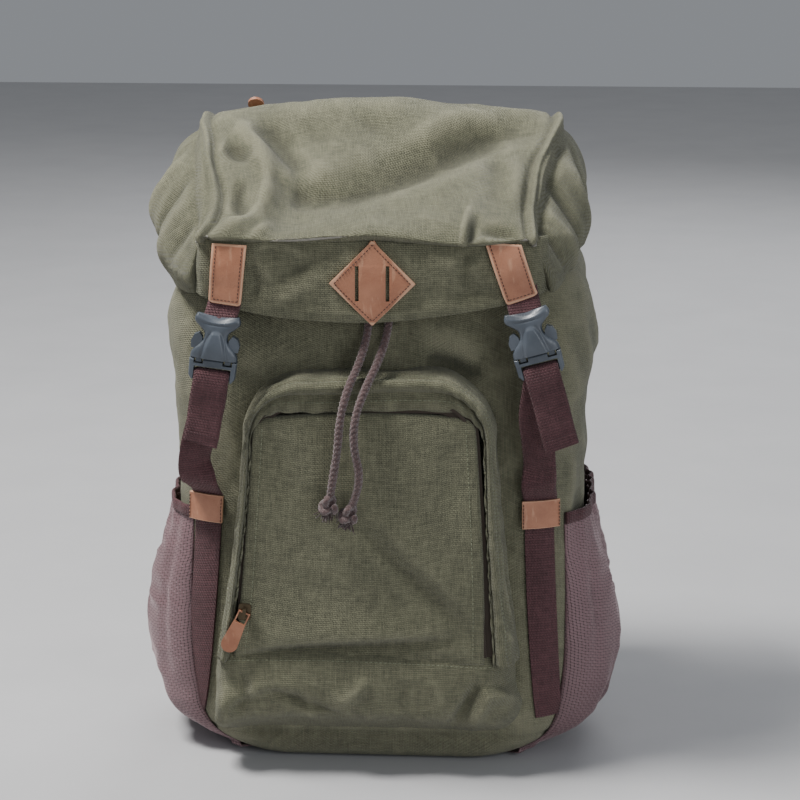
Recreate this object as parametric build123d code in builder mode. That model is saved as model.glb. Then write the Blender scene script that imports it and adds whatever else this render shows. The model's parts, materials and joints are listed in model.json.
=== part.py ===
"""Canvas school backpack: a bag sewn from panels, a hinged lid held by two side-release
buckles, a zipped front pocket, two mesh side pockets, a drawcord collar and padded straps.

Millimetres. The origin is the centre of the flat base, +Z is up and the front faces -Y.
"""

from build123d import *
import os
from math import cos, hypot, radians, sin, tan

os.makedirs("parts", exist_ok=True)

# ---- bag ----
bag_width = 300.0
bag_depth = 160.0
bag_height = 372.0
corner_radius = 45.0
wall = 2.4
base_thickness = 5.0
side_seam_inset = 50.0
sewn_gap = 0.15

half = bag_width / 2
back_y = bag_depth / 2
front_y = -back_y
seam_x = half - side_seam_inset

# ---- collar, drawcord and cord lock ----
mouth_width = 190.0
mouth_depth = 72.0
collar_rise = 16.0
cord_diameter = 6.0
lock_radius = 8.0
lock_length = 22.0
plunger_radius = 4.4
plunger_travel = 4.0
plunger_clearance = 0.25
eyelet_radius = 5.5
eyelet_spacing = 18.0
eyelet_thickness = 1.2
eyelet_clearance = 0.3

# ---- front pocket ----
pocket_bottom = 34.0
pocket_top = 297.0
pocket_half_low = 110.0
pocket_half_high = 88.0
pocket_corner = 42.0
pocket_depth = 30.0
face_top = 288.0
face_half_low = 102.0
face_half_high = 84.0
face_corner = 36.0
face_shift = -8.0
gusset_wall = 3.0
rim_width = 10.0
rim_depth = 6.0
zip_gap = 3.0
face_thickness = 4.0
skirt_top = 92.0
skirt_set_back = 8.0
tape_thickness = 1.2
tape_half_width = 6.0

# ---- mesh side pockets ----
mesh_wall = 1.6
mesh_half_length = 60.0
mesh_corner = 28.0
mesh_inset = 80.0
mesh_height = 183.0
binding_height = 9.0

# ---- webbing, leather and buckles ----
webbing_width = 25.0
webbing_thickness = 1.8
leather_thickness = 2.2
patch_width = 28.0
patch_height = 24.0
buckle_width = 33.0
buckle_thickness = 10.0
female_length = 31.0
male_length = 15.0
male_shoulder = 5.2
buckle_gap = 0.6
cavity_depth = 6.4
buckle_wall = 2.2
bar_length = 3.0
slot_length = 4.2
prong_thickness = 5.6
webbing_clearance = 0.4

# ---- lid ----
lid_left = -125.0
lid_right = 113.0
lid_bulge_left = 41.0
lid_bulge_right = 35.0
lid_wall = 3.2
lid_crown = 15.0
zip_drop = 15.0
lid_ridge = 38.0
lid_front_reach = 32.0
lid_seam_drop = 41.0
band_height = 48.0
band_thickness = 4.0
patch_half_diagonal = 29.5
tab_width = 26.0

# ---- carrying side ----
yoke_thickness = 4.0
yoke_half_width = 72.0
yoke_bottom = 340.0
pad_half_width = 80.0
pad_thickness = 14.0
pad_bottom = 45.0
strap_width = 58.0
strap_thickness = 12.0
handle_radius = 4.5
handle_half = 40.0
handle_reach = 28.0
handle_clearance = 0.3
handle_droop = radians(25)
handle_tab_width = 18.0
handle_tab_height = 26.0
handle_pin_length = 12.0

# ---- places that follow from the sizes ----
hinge_y = back_y + yoke_thickness + 1.0
hinge_z = bag_height + 60.0
lid_front_y = front_y - lid_front_reach
lid_seam_z = hinge_z - lid_seam_drop
pocket_front_y = front_y - pocket_depth
buckle_y = lid_front_y - 4.8
handle_y = back_y + yoke_thickness + 2.0 + handle_radius + handle_clearance
handle_z = bag_height + 30.0
lock_y = front_y + 23.0
lock_z = bag_height + 16.6
hands = ((-1, "left"), (1, "right"))
forward = Vector(0, -1, 0)

bag_levels = (
    (base_thickness, half - 6, front_y),
    (60.0, half, front_y - 6),
    (180.0, half - 3, front_y - 6),
    (bag_height - 72, half + 3, front_y - 10),
    (bag_height - 27, half - 9, front_y - 8),
    (bag_height, half - 17, front_y + 4),
)


def save(piece, name):
    """Label a finished piece and write it to its own STEP file."""
    piece.part.label = name
    export_step(piece.part, f"parts/{name}.step")


def bag_form(grow):
    """The filled outer form of the bag, every side moved outward by grow."""
    with BuildPart() as form:
        for z, half_width, front in bag_levels:
            with BuildSketch(Plane.XY.offset(z)):
                with Locations((0, (front + back_y) / 2)):
                    RectangleRounded(
                        2 * (half_width + grow), back_y - front + 2 * grow, corner_radius + grow
                    )
        loft(ruled=True)
    return form.part


bag_outside = bag_form(0)
bag_inside = bag_form(-wall)
bag_skin = bag_form(sewn_gap)


def bag_panel(x_low, x_high, y_low, y_high):
    """One sewn panel of the bag wall: the part of the wall over a rectangle of the plan."""
    with BuildPart() as panel:
        add(bag_outside)
        add(bag_inside, mode=Mode.SUBTRACT)
        with BuildSketch(Plane.XY):
            with Locations(((x_low + x_high) / 2, (y_low + y_high) / 2)):
                Rectangle(x_high - x_low, y_high - y_low)
        extrude(amount=bag_height, mode=Mode.INTERSECT)
    return panel


def sewn_band(low, high, width, inner, outer):
    """A strip that lies on the bag's front, from one (x, z) point to another, between two
    distances from the wall."""
    with BuildPart() as band:
        add(bag_form(outer))
        add(bag_form(inner), mode=Mode.SUBTRACT)
        with BuildSketch(Plane.XZ):
            with BuildLine():
                Line(low, high)
            trace(line_width=width)
        extrude(amount=bag_depth, mode=Mode.INTERSECT)
    return band


# ---- bag panels ----
past_bag = bag_width
save(bag_panel(-seam_x, seam_x, -past_bag, 0), "front_panel")
save(bag_panel(-seam_x, seam_x, 0, past_bag), "back_panel")
save(bag_panel(-past_bag, -seam_x, -past_bag, past_bag), "side_panel_left")
save(bag_panel(seam_x, past_bag, -past_bag, past_bag), "side_panel_right")

with BuildPart() as base_panel:
    with BuildSketch(Plane.XY):
        RectangleRounded(2 * bag_levels[0][1], bag_depth, corner_radius)
    extrude(amount=base_thickness)
    fillet(base_panel.faces().sort_by(Axis.Z)[0].edges(), radius=1.5)
save(base_panel, "base_panel")

# ---- collar with its hem, drawcord and eyelets ----
mouth_z = bag_height + collar_rise
collar_half = bag_levels[-1][1]
collar_front = bag_levels[-1][2]
collar_y = (collar_front + back_y) / 2


def collar_form(grow):
    """The filled form of the gathered collar, from the bag's top edge in to its mouth."""
    with BuildPart() as form:
        with BuildSketch(Plane.XY.offset(bag_height)):
            with Locations((0, collar_y)):
                RectangleRounded(
                    2 * (collar_half + grow), back_y - collar_front + 2 * grow, corner_radius + grow
                )
        with BuildSketch(Plane.XY.offset(mouth_z)):
            with Locations((0, collar_y)):
                RectangleRounded(
                    mouth_width + 2 * grow, mouth_depth + 2 * grow, mouth_depth / 2 + grow - 0.5
                )
        loft(ruled=True)
    return form.part


with BuildPart() as collar:
    add(collar_form(0))
    add(collar_form(-wall), mode=Mode.SUBTRACT)
save(collar, "collar")

loop_half_x = mouth_width / 2 - wall / 2
loop_half_y = mouth_depth / 2 - wall / 2
loop_z = mouth_z + cord_diameter / 2 + 0.1
with BuildPart() as drawcord_loop:
    with BuildLine(Plane.XY.offset(loop_z)) as loop_path:
        FilletPolyline(
            (-loop_half_x, collar_y - loop_half_y),
            (loop_half_x, collar_y - loop_half_y),
            (loop_half_x, collar_y + loop_half_y),
            (-loop_half_x, collar_y + loop_half_y),
            radius=loop_half_y - 2,
            close=True,
        )
    with BuildSketch(Plane(origin=loop_path.line @ 0, z_dir=loop_path.line % 0)):
        Circle(cord_diameter / 2)
    sweep(path=loop_path.line)
save(drawcord_loop, "drawcord_loop")

collar_run = (collar_y - mouth_depth / 2) - collar_front
collar_slope = Vector(0, -collar_rise, collar_run).normalized()
eyelet_y = lock_y + 12.0
eyelet_z = bag_height + (eyelet_y - collar_front) * collar_rise / collar_run
with BuildPart() as collar_eyelets:
    for eyelet_x in (-eyelet_spacing / 2, eyelet_spacing / 2):
        with BuildSketch(Plane(origin=(eyelet_x, eyelet_y, eyelet_z), z_dir=collar_slope)):
            Circle(eyelet_radius)
            Circle(cord_diameter / 2 + eyelet_clearance, mode=Mode.SUBTRACT)
        extrude(amount=eyelet_thickness)
save(collar_eyelets, "collar_eyelets")

# ---- cord lock: barrel, sprung plunger and spring, lying across the collar ----
lock_x = 3.0
lock_low = lock_x - lock_length / 2
bore_radius = plunger_radius + plunger_clearance
bore_low = lock_low + 2.0
with BuildPart() as cord_lock_body:
    with BuildSketch(Plane.YZ.offset(lock_low)):
        with Locations((lock_y, lock_z)):
            Circle(lock_radius)
    extrude(amount=lock_length)
    fillet(cord_lock_body.edges().filter_by(GeomType.CIRCLE), radius=1.5)
    with BuildSketch(Plane.YZ.offset(bore_low)):
        with Locations((lock_y, lock_z)):
            Circle(bore_radius)
    extrude(amount=lock_length, mode=Mode.SUBTRACT)
save(cord_lock_body, "cord_lock_body")

spring_wire = 0.7
spring_room = 6.0
plunger_low = bore_low + spring_room
with BuildPart() as cord_lock_plunger:
    with BuildSketch(Plane.YZ.offset(plunger_low)):
        with Locations((lock_y, lock_z)):
            Circle(plunger_radius)
    extrude(amount=lock_low + lock_length + plunger_travel + 0.5 - plunger_low)
    with BuildSketch(Plane.YZ.offset(lock_low + lock_length + plunger_travel + 0.5)):
        with Locations((lock_y, lock_z)):
            Circle(plunger_radius + 1.8)
    extrude(amount=2.5)
    fillet(cord_lock_plunger.faces().sort_by(Axis.X)[-1].edges(), radius=1.0)
save(cord_lock_plunger, "cord_lock_plunger")

with BuildPart() as cord_lock_spring:
    with BuildLine() as spring_path:
        Helix(
            pitch=1.5,
            height=spring_room - 2 * spring_wire,
            radius=plunger_radius - 1.0,
            center=(bore_low + spring_wire, lock_y, lock_z),
            direction=(1, 0, 0),
        )
    with BuildSketch(Plane(origin=spring_path.line @ 0, z_dir=spring_path.line % 0)):
        Circle(spring_wire / 2)
    sweep(path=spring_path.line, is_frenet=True)
save(cord_lock_spring, "cord_lock_spring")

# ---- front pocket: gusset, rim, zip, face and skirt ----


def pocket_outline(plane_y, half_low, half_high, low, high, radius, shift, inset):
    """An arch on a plane across the bag: sides that lean in, rounded top corners, moved
    inward by inset on every side but the bottom."""
    side_lean = (half_low - half_high) / (high - low)
    top = high - inset
    wide = half_low - inset
    narrow = wide - side_lean * (top - low)
    with BuildSketch(Plane.XZ.offset(-plane_y)) as outline:
        with BuildLine():
            Polyline(
                (shift - wide, low),
                (shift + wide, low),
                (shift + narrow, top),
                (shift - narrow, top),
                close=True,
            )
        make_face()
        corners = outline.vertices().group_by(Axis.Y)[-1]
        fillet(corners, radius=max(radius - inset, 1.0))
    return outline.sketch


def back_outline(plane_y, inset, drop=0.0):
    """Where the pocket meets the bag."""
    return pocket_outline(
        plane_y, pocket_half_low, pocket_half_high, pocket_bottom + drop, pocket_top,
        pocket_corner, 0.0, inset,
    )


def face_outline(plane_y, inset, low=pocket_bottom):
    """Where the pocket's sides end, round its front face."""
    side_lean = (face_half_low - face_half_high) / (face_top - pocket_bottom)
    return pocket_outline(
        plane_y, face_half_low - side_lean * (low - pocket_bottom), face_half_high, low,
        face_top, face_corner, face_shift, inset,
    )


skirt_front = pocket_front_y - face_thickness
skirt_low_y = pocket_front_y + skirt_set_back
with BuildPart() as pocket_gusset:
    loft(sections=[back_outline(front_y, 0), face_outline(pocket_front_y, 0)], ruled=True)
    loft(
        sections=[
            back_outline(front_y, gusset_wall, gusset_wall),
            face_outline(pocket_front_y, gusset_wall, pocket_bottom + gusset_wall),
        ],
        ruled=True,
        mode=Mode.SUBTRACT,
    )
    add(bag_skin, mode=Mode.SUBTRACT)
    with BuildSketch(Plane.YZ.offset(-half)):
        with BuildLine():
            Polyline(
                (pocket_front_y, skirt_top),
                (skirt_low_y, pocket_bottom),
                (skirt_front - 5, pocket_bottom),
                (skirt_front - 5, skirt_top),
                close=True,
            )
        make_face()
    extrude(amount=bag_width, mode=Mode.SUBTRACT)
save(pocket_gusset, "pocket_gusset")

with BuildPart() as pocket_rim:
    extrude(face_outline(pocket_front_y, 0, skirt_top), amount=rim_depth, dir=forward)
    extrude(
        face_outline(pocket_front_y, rim_width, skirt_top),
        amount=rim_depth,
        dir=forward,
        mode=Mode.SUBTRACT,
    )
    rim_front = pocket_rim.faces().sort_by(Axis.Y)[0]
    fillet(rim_front.edges(), radius=2.4)
save(pocket_rim, "pocket_rim")

with BuildPart() as pocket_face:
    extrude(
        face_outline(pocket_front_y, rim_width + zip_gap, skirt_top),
        amount=face_thickness,
        dir=forward,
    )
    fillet(pocket_face.faces().sort_by(Axis.Y)[0].edges(), radius=1.2)
save(pocket_face, "pocket_face")

with BuildPart() as pocket_skirt:
    with BuildSketch(Plane.YZ.offset(-half)):
        with BuildLine():
            Polyline(
                (pocket_front_y, skirt_top),
                (skirt_low_y, pocket_bottom),
                (skirt_low_y - face_thickness, pocket_bottom),
                (skirt_front, skirt_top),
                close=True,
            )
        make_face()
    extrude(amount=bag_width)
    extrude(
        face_outline(front_y, 0), amount=2 * pocket_depth, dir=forward, mode=Mode.INTERSECT
    )
save(pocket_skirt, "pocket_skirt")

tape_front = pocket_front_y + sewn_gap
zip_line = rim_width + zip_gap / 2
coil_half_width = zip_gap / 2 - 0.4
coil_height = 1.8


def arch_strip(back_plane_y, half_width, thickness):
    """A flat strip that follows the zip's line round the pocket face."""
    with BuildPart() as strip:
        extrude(
            face_outline(back_plane_y, zip_line - half_width, skirt_top),
            amount=thickness,
            dir=forward,
        )
        extrude(
            face_outline(back_plane_y, zip_line + half_width, skirt_top),
            amount=thickness,
            dir=forward,
            mode=Mode.SUBTRACT,
        )
    return strip.part


with BuildPart() as pocket_zip_tape:
    add(arch_strip(tape_front + tape_thickness, tape_half_width, tape_thickness))
    add(arch_strip(tape_front + tape_thickness / 2, coil_half_width, tape_thickness / 2 + coil_height))
save(pocket_zip_tape, "pocket_zip_tape")

# ---- pocket zip slider and its leather pull ----
leg_lean = (face_half_low - face_half_high) / (face_top - pocket_bottom)
slider_z = 125.0
slider_x = face_shift - face_half_low + zip_line + (slider_z - pocket_bottom) * leg_lean
slider_width = 9.0
slider_length = 12.0
slider_plate = 2.0
slider_y = pocket_front_y - rim_depth - 0.4
neck_half_width = zip_gap / 2 - 0.6
pull_thickness = 2.4
pull_neck = 4.4
pull_end_radius = 6.0
pocket_pull_length = 32.0
lid_pull_length = 23.0
bail_height = 3.2
leg_across = Vector(1, 0, -leg_lean).normalized()
slider_plane = Plane(origin=(slider_x, slider_y, slider_z), x_dir=leg_across, z_dir=forward)
with BuildPart() as pocket_zip_slider:
    with BuildSketch(slider_plane):
        RectangleRounded(slider_width, slider_length, 2.0)
    extrude(amount=slider_plate)
    with BuildSketch(slider_plane):
        Rectangle(2 * neck_half_width, slider_length - 4)
    extrude(amount=-(rim_depth - coil_height - 0.4))
    with BuildSketch(slider_plane.offset(slider_plate)):
        Rectangle(2.4, slider_length - 5)
    extrude(amount=bail_height)
    with BuildSketch(slider_plane.offset(slider_plate)):
        Rectangle(2.4, slider_length - 8.5)
    extrude(amount=bail_height - 1.4, mode=Mode.SUBTRACT)
save(pocket_zip_slider, "pocket_zip_slider")


def leather_pull(plane, length, name):
    """A teardrop leather tongue with a wire ring at the narrow end; the plane's origin is the
    ring's turning axis and its -Y runs down the tongue."""
    tip = pull_end_radius - length
    with BuildPart() as pull:
        with BuildSketch(plane.offset(-pull_thickness / 2)):
            with BuildLine():
                Polyline(
                    (-pull_neck, -8.4),
                    (pull_neck, -8.4),
                    (pull_end_radius, tip),
                    (-pull_end_radius, tip),
                    close=True,
                )
            make_face()
            with Locations((0, tip)):
                Circle(pull_end_radius)
        extrude(amount=pull_thickness)
        with BuildSketch(plane.offset(-0.5)):
            Rectangle(8.8, 1.0)
            with Locations((-3.9, -4.5), (3.9, -4.5)):
                Rectangle(1.0, 9.5)
        extrude(amount=1.0)
    save(pull, name)


pull_lean = radians(25)
pull_plane = Plane(
    origin=(slider_x, slider_y - slider_plate - bail_height / 2 + 0.65, slider_z),
    x_dir=(cos(pull_lean), 0, -sin(pull_lean)),
    z_dir=forward,
)
leather_pull(pull_plane, pocket_pull_length, "pocket_zip_pull")

# ---- mesh side pockets with their elastic binding ----
mesh_levels = (
    (3.0, 3.0),
    (22.0, 21.0),
    (80.0, 25.0),
    (130.0, 14.0),
    (mesh_height, 9.0),
)


def mesh_form(side, grow, floor):
    """The filled form of a side pocket, bulging out from the bag's side."""
    inner_x = half - mesh_inset
    with BuildPart() as form:
        for z, bulge in mesh_levels:
            outer_x = half + bulge + grow
            with BuildSketch(Plane.XY.offset(max(z, floor))):
                with Locations((side * (outer_x + inner_x) / 2, 0)):
                    RectangleRounded(
                        outer_x - inner_x, 2 * (mesh_half_length + grow), mesh_corner + grow
                    )
        loft(ruled=True)
    return form.part


def mesh_pocket(side, hand):
    """One open-topped mesh pocket: closed below, sewn to the bag along its edges."""
    with BuildPart() as pocket:
        add(mesh_form(side, 0, 0))
        add(mesh_form(side, -mesh_wall, mesh_levels[0][0] + mesh_wall), mode=Mode.SUBTRACT)
        with BuildSketch(Plane.XY):
            RectangleRounded(2 * bag_levels[0][1] + 1, bag_depth + 1, corner_radius)
        extrude(amount=base_thickness, mode=Mode.SUBTRACT)
        add(bag_skin, mode=Mode.SUBTRACT)
    save(pocket, f"mesh_pocket_{hand}")


for side, hand in hands:
    mesh_pocket(side, hand)

with BuildPart() as mesh_bindings:
    for side, hand in hands:
        outer_x = half + mesh_levels[-1][1]
        inner_x = half - mesh_inset
        with BuildSketch(Plane.XY.offset(mesh_height)):
            with Locations((side * (outer_x + inner_x) / 2, 0)):
                RectangleRounded(outer_x - inner_x + 1, 2 * mesh_half_length + 1, mesh_corner)
                RectangleRounded(
                    outer_x - inner_x - 4,
                    2 * mesh_half_length - 4,
                    mesh_corner - 2.5,
                    mode=Mode.SUBTRACT,
                )
        extrude(amount=binding_height)
    add(bag_skin, mode=Mode.SUBTRACT)
save(mesh_bindings, "mesh_bindings")

# ---- webbing down the front corners, leather patches and load straps ----
patch_z = 192.0
webbing_foot = {-1: (-half + 27, 20.0), 1: (half - 28, 38.0)}
patch_place = {-1: (-half + 29.5, patch_z), 1: (half - 42, patch_z + 3)}
webbing_outer = sewn_gap + webbing_thickness
patch_inner = webbing_outer + sewn_gap
patch_outer = patch_inner + leather_thickness

for side, hand in hands:
    side_webbing = sewn_band(
        webbing_foot[side], patch_place[side], webbing_width, sewn_gap, webbing_outer
    )
    save(side_webbing, f"side_webbing_{hand}")

with BuildPart() as leather_patches:
    for side, hand in hands:
        x, z = patch_place[side]
        low = (x, z - patch_height / 2)
        high = (x, z + patch_height / 2)
        add(sewn_band(low, high, patch_width, patch_inner, patch_outer).part)
save(leather_patches, "leather_patches")

# ---- side-release buckles: the female hangs from the lid, the male from the load strap ----
buckle_top = {-1: (-half + 43.5, lid_seam_z - 51), 1: (half - 46.5, lid_seam_z - 45)}
buckle_tilt = {-1: -7.4, 1: 15.8}
bar_thickness = 4.0
mouth_v = female_length
male_v = mouth_v + buckle_gap
male_end = male_v + male_length


def buckle_plane(side, v):
    """The buckle's own plane: X across it, Y up it, Z out of the bag; v runs down from its
    top edge."""
    tilt = radians(buckle_tilt[side])
    across = Vector(cos(tilt), 0, sin(tilt))
    down = Vector(sin(tilt), 0, -cos(tilt))
    x, z = buckle_top[side]
    return Plane(origin=Vector(x, buckle_y, z) + down * v, x_dir=across, z_dir=forward)


def side_plane(side, v):
    """A plane along the buckle's length, seen from its side: X out of the bag, Y up it."""
    front = buckle_plane(side, v)
    return Plane(origin=front.origin, x_dir=front.z_dir, z_dir=-front.x_dir)


cavity_half = buckle_width / 2 - buckle_wall
window_top = 12.0
window_end = 25.0
slot_half = webbing_width / 2 + webbing_clearance
body_half = buckle_thickness / 2


def female_buckle(side, hand):
    """The buckle's housing: a webbing bar on top, side windows and an open mouth below."""
    top = buckle_plane(side, 0)
    with BuildPart() as female:
        with BuildSketch(top.offset(-body_half)):
            with BuildLine():
                Polyline(
                    (-buckle_width / 2 + 1.2, 0),
                    (buckle_width / 2 - 1.2, 0),
                    (buckle_width / 2, -9),
                    (buckle_width / 2 - 1.6, -17),
                    (buckle_width / 2, -mouth_v),
                    (-buckle_width / 2, -mouth_v),
                    (-buckle_width / 2 + 1.6, -17),
                    (-buckle_width / 2, -9),
                    close=True,
                )
            make_face()
        extrude(amount=buckle_thickness)
        fillet(female.faces().filter_by(Axis.Y).edges(), radius=1.6)
        with BuildSketch(top.offset(-body_half)):
            with Locations((0, -bar_length - slot_length / 2)):
                Rectangle(2 * slot_half, slot_length)
        extrude(amount=buckle_thickness, mode=Mode.SUBTRACT)
        for level in (-body_half, bar_thickness / 2):
            with BuildSketch(top.offset(level)):
                with Locations((0, -bar_length / 2)):
                    Rectangle(2 * slot_half, bar_length)
            extrude(amount=body_half - bar_thickness / 2, mode=Mode.SUBTRACT)
        with BuildSketch(top.offset(-cavity_depth / 2)):
            with Locations((0, -(window_top + mouth_v) / 2)):
                Rectangle(2 * cavity_half, mouth_v - window_top)
            with Locations((0, -(window_top + window_end) / 2)):
                Rectangle(buckle_width + 2, window_end - window_top)
        extrude(amount=cavity_depth, mode=Mode.SUBTRACT)
        with BuildSketch(top.offset(body_half - 0.8)):
            with BuildLine():
                Line((-9.0, -mouth_v), (-9.0, -21.0))
                ThreePointArc((-9.0, -21.0), (0, -13.5), (9.0, -21.0))
                Line((9.0, -21.0), (9.0, -mouth_v))
            trace(line_width=1.2)
        extrude(amount=1.6)
    save(female, f"buckle_female_{hand}")


prong_root = 8.0
prong_width = 4.2


def male_buckle(side, hand):
    """The buckle's base: a ladder bar for the load strap and a guide tongue that enters the
    housing."""
    root = buckle_plane(side, male_v)
    with BuildPart() as male:
        with BuildSketch(root.offset(-body_half + 0.8)):
            with BuildLine():
                Polyline(
                    (-buckle_width / 2, 0),
                    (buckle_width / 2, 0),
                    (buckle_width / 2 - 0.4, -male_length + 3),
                    (buckle_width / 2 - 2.5, -male_length),
                    (-buckle_width / 2 + 2.5, -male_length),
                    (-buckle_width / 2 + 0.4, -male_length + 3),
                    close=True,
                )
            make_face()
        extrude(amount=buckle_thickness - 1.6)
        fillet(male.faces().filter_by(Axis.Y).edges(), radius=1.2)
        with BuildSketch(root.offset(-body_half)):
            with Locations((0, -(male_length + male_shoulder) / 2)):
                Rectangle(2 * slot_half, male_length - male_shoulder)
        extrude(amount=buckle_thickness, mode=Mode.SUBTRACT)
        with BuildSketch(root.offset(-bar_thickness / 2)):
            with Locations((0, -male_length + 3.2)):
                Rectangle(2 * slot_half + 1, 3.0)
        extrude(amount=bar_thickness)
        with BuildSketch(root.offset(-1.6)):
            with Locations((0, 7.0)):
                Rectangle(5.0, 15.0)
        extrude(amount=3.2)
        for lean in (-1, 1):
            with BuildSketch(root.offset(-cavity_depth / 2 - 1)):
                with Locations((lean * (prong_root + prong_width / 2), 1.0)):
                    Rectangle(prong_width + 2.4, 8.4)
            extrude(amount=cavity_depth + 2, mode=Mode.SUBTRACT)
    save(male, f"buckle_male_{hand}")


def buckle_prong(side, lean, name):
    """One springy arm: it runs up inside the housing and its head fills the side window."""
    root = buckle_plane(side, male_v)
    with BuildPart() as prong:
        with BuildSketch(root.offset(-prong_thickness / 2)):
            with BuildLine():
                Polyline(
                    (lean * prong_root, -2.4),
                    (lean * (prong_root + prong_width), -2.4),
                    (lean * (prong_root + prong_width), 7.2),
                    (lean * (buckle_width / 2 - 0.2), 7.2),
                    (lean * (buckle_width / 2 + 0.4), 12.0),
                    (lean * (buckle_width / 2 - 1.4), 16.4),
                    (lean * (prong_root + 3.6), 18.2),
                    (lean * (prong_root + 1.2), 15.0),
                    close=True,
                )
            make_face()
        extrude(amount=prong_thickness)
    save(prong, name)


for side, hand in hands:
    female_buckle(side, hand)
    male_buckle(side, hand)
    buckle_prong(side, side, f"prong_{hand}_outer")
    buckle_prong(side, -side, f"prong_{hand}_inner")


def hairpin(plane, gap, leg):
    """Webbing folded round a bar: two legs and the bend above them; the plane looks along
    the bar, its origin on the bar's axis and its Y pointing to the bend."""
    bend = gap / 2 + webbing_thickness / 2
    with BuildPart() as fold:
        with BuildSketch(plane):
            with BuildLine():
                Line((-bend, -leg), (-bend, 0))
                ThreePointArc((-bend, 0), (0, bend), (bend, 0))
                Line((bend, 0), (bend, -leg))
            trace(line_width=webbing_thickness)
        extrude(amount=webbing_width / 2, both=True)
    return fold.part


bar_gap = 2 * (hypot(bar_thickness / 2, bar_length / 2) + webbing_clearance)
fold_bend = bar_gap / 2 + webbing_thickness / 2
bar_v = male_end - 3.2
strap_leg = 9.0
strap_bow = {-1: -14.0, 1: -3.0}
tail_length = 42.0


def ribbon(side_points, front_points, width):
    """A length of webbing that follows one path seen from the side and another seen from the
    front."""
    with BuildPart() as strip:
        with BuildSketch(Plane.YZ):
            with BuildLine():
                Polyline(*side_points)
            trace(line_width=webbing_thickness)
        extrude(amount=bag_width, both=True)
        with BuildSketch(Plane.XZ):
            with BuildLine():
                Polyline(*front_points)
            trace(line_width=width)
        extrude(amount=bag_width, both=True, mode=Mode.INTERSECT)
    return strip.part


def load_strap(side, hand):
    """Webbing from under the leather patch up to the buckle, round its bar and down again as
    a loose tail."""
    bar = side_plane(side, bar_v)
    start = bar.from_local_coords((0, -strap_leg + 1))
    patch_x, patch_low_z = patch_place[side]
    back_leg_y = buckle_y + fold_bend
    tail_y = buckle_y - fold_bend
    end_z = patch_low_z + patch_height / 2 - 4
    bow_x = (start.X + patch_x) / 2 + strap_bow[side]
    with BuildPart() as strap:
        add(hairpin(bar, bar_gap, strap_leg))
        add(
            ribbon(
                (
                    (back_leg_y, start.Z + 3),
                    (back_leg_y + 2, start.Z - 12),
                    (front_y - 21, (start.Z + end_z) / 2 + 8),
                    (front_y - 12, end_z),
                ),
                (
                    (start.X, start.Z + 1.5),
                    (start.X + side * 2, start.Z - 14),
                    (bow_x, (start.Z + end_z) / 2 - 8),
                    (patch_x, end_z),
                ),
                webbing_width,
            )
        )
        tail_down = buckle_plane(side, male_end + tail_length)
        add(
            ribbon(
                ((tail_y, start.Z + 1.5), (tail_y + 2, tail_down.origin.Z)),
                (
                    (start.X, start.Z + 1.5),
                    (tail_down.origin.X + side * 3, tail_down.origin.Z),
                ),
                webbing_width,
            )
        )
    save(strap, f"load_strap_{hand}")


for side, hand in hands:
    load_strap(side, hand)

# ---- lid: top panel, front band, puffed sides and lining ----
band_top = lid_seam_z - lid_wall
band_bottom = lid_seam_z - band_height
shoulder = (hinge_y - 14.0, hinge_z + 23.0)
lid_ridge_y = hinge_y - 55.0
crown_places = ((lid_left, 1.0), ((lid_left + lid_right) / 2, 0.0), (lid_right, 0.87))


def lid_profile(drop):
    """The lid's upper line from its rear edge to the front seam, lowered at the ridge by
    drop."""
    return [
        (hinge_y + 1.0, hinge_z + 3.2),
        shoulder,
        (lid_ridge_y, hinge_z + lid_ridge - drop),
        (lid_ridge_y - 70.0, hinge_z + 6.0 - drop / 3),
        (lid_front_y, lid_seam_z),
    ]


with BuildPart() as lid_top_panel:
    for x, share in crown_places:
        upper = lid_profile(lid_crown * share)
        lower = [(y, z - lid_wall) for y, z in reversed(upper)]
        with BuildSketch(Plane.YZ.offset(x)):
            with BuildLine():
                Polyline(*upper, *lower, close=True)
            make_face()
    loft(ruled=True)
save(lid_top_panel, "lid_top_panel")

with BuildPart() as lid_front_band:
    with BuildSketch(Plane.XZ.offset(-lid_front_y - band_thickness)):
        with BuildLine():
            Polyline(
                (lid_left, band_top),
                (lid_right, band_top),
                (lid_right - 3, band_bottom + 9),
                (lid_right - 16, band_bottom),
                (lid_left + 16, band_bottom),
                (lid_left + 3, band_bottom + 9),
                close=True,
            )
        make_face()
    extrude(amount=band_thickness)
save(lid_front_band, "lid_front_band")

cap_centre = (hinge_y - 100.0, hinge_z - 27.0)
cap_shrink = 0.84
cap_middle = 0.72
cap_middle_shrink = 0.97
cap_opening_drop = 14.0


def cap_outline(share, size, bottom_drop):
    """The lid's side seen from the side: the top panel's line closed by a sloping hem."""
    points = lid_profile(lid_crown * share) + [
        (lid_front_y, band_bottom + 9 - bottom_drop),
        (hinge_y - 5.0, hinge_z - 34.0 - bottom_drop),
    ]
    centre_y, centre_z = cap_centre
    return [
        (centre_y + (y - centre_y) * size, centre_z + (z - centre_z) * size) for y, z in points
    ]


def cap_face(x, share, size, bottom_drop, inset):
    """The outline as a face on the plane x, moved inward by inset."""
    with BuildSketch(Plane.YZ.offset(x)) as face:
        with BuildLine():
            Polyline(*cap_outline(share, size, bottom_drop), close=True)
        make_face()
        if inset:
            offset(amount=-inset, kind=Kind.INTERSECTION)
    return face.sketch


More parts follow.
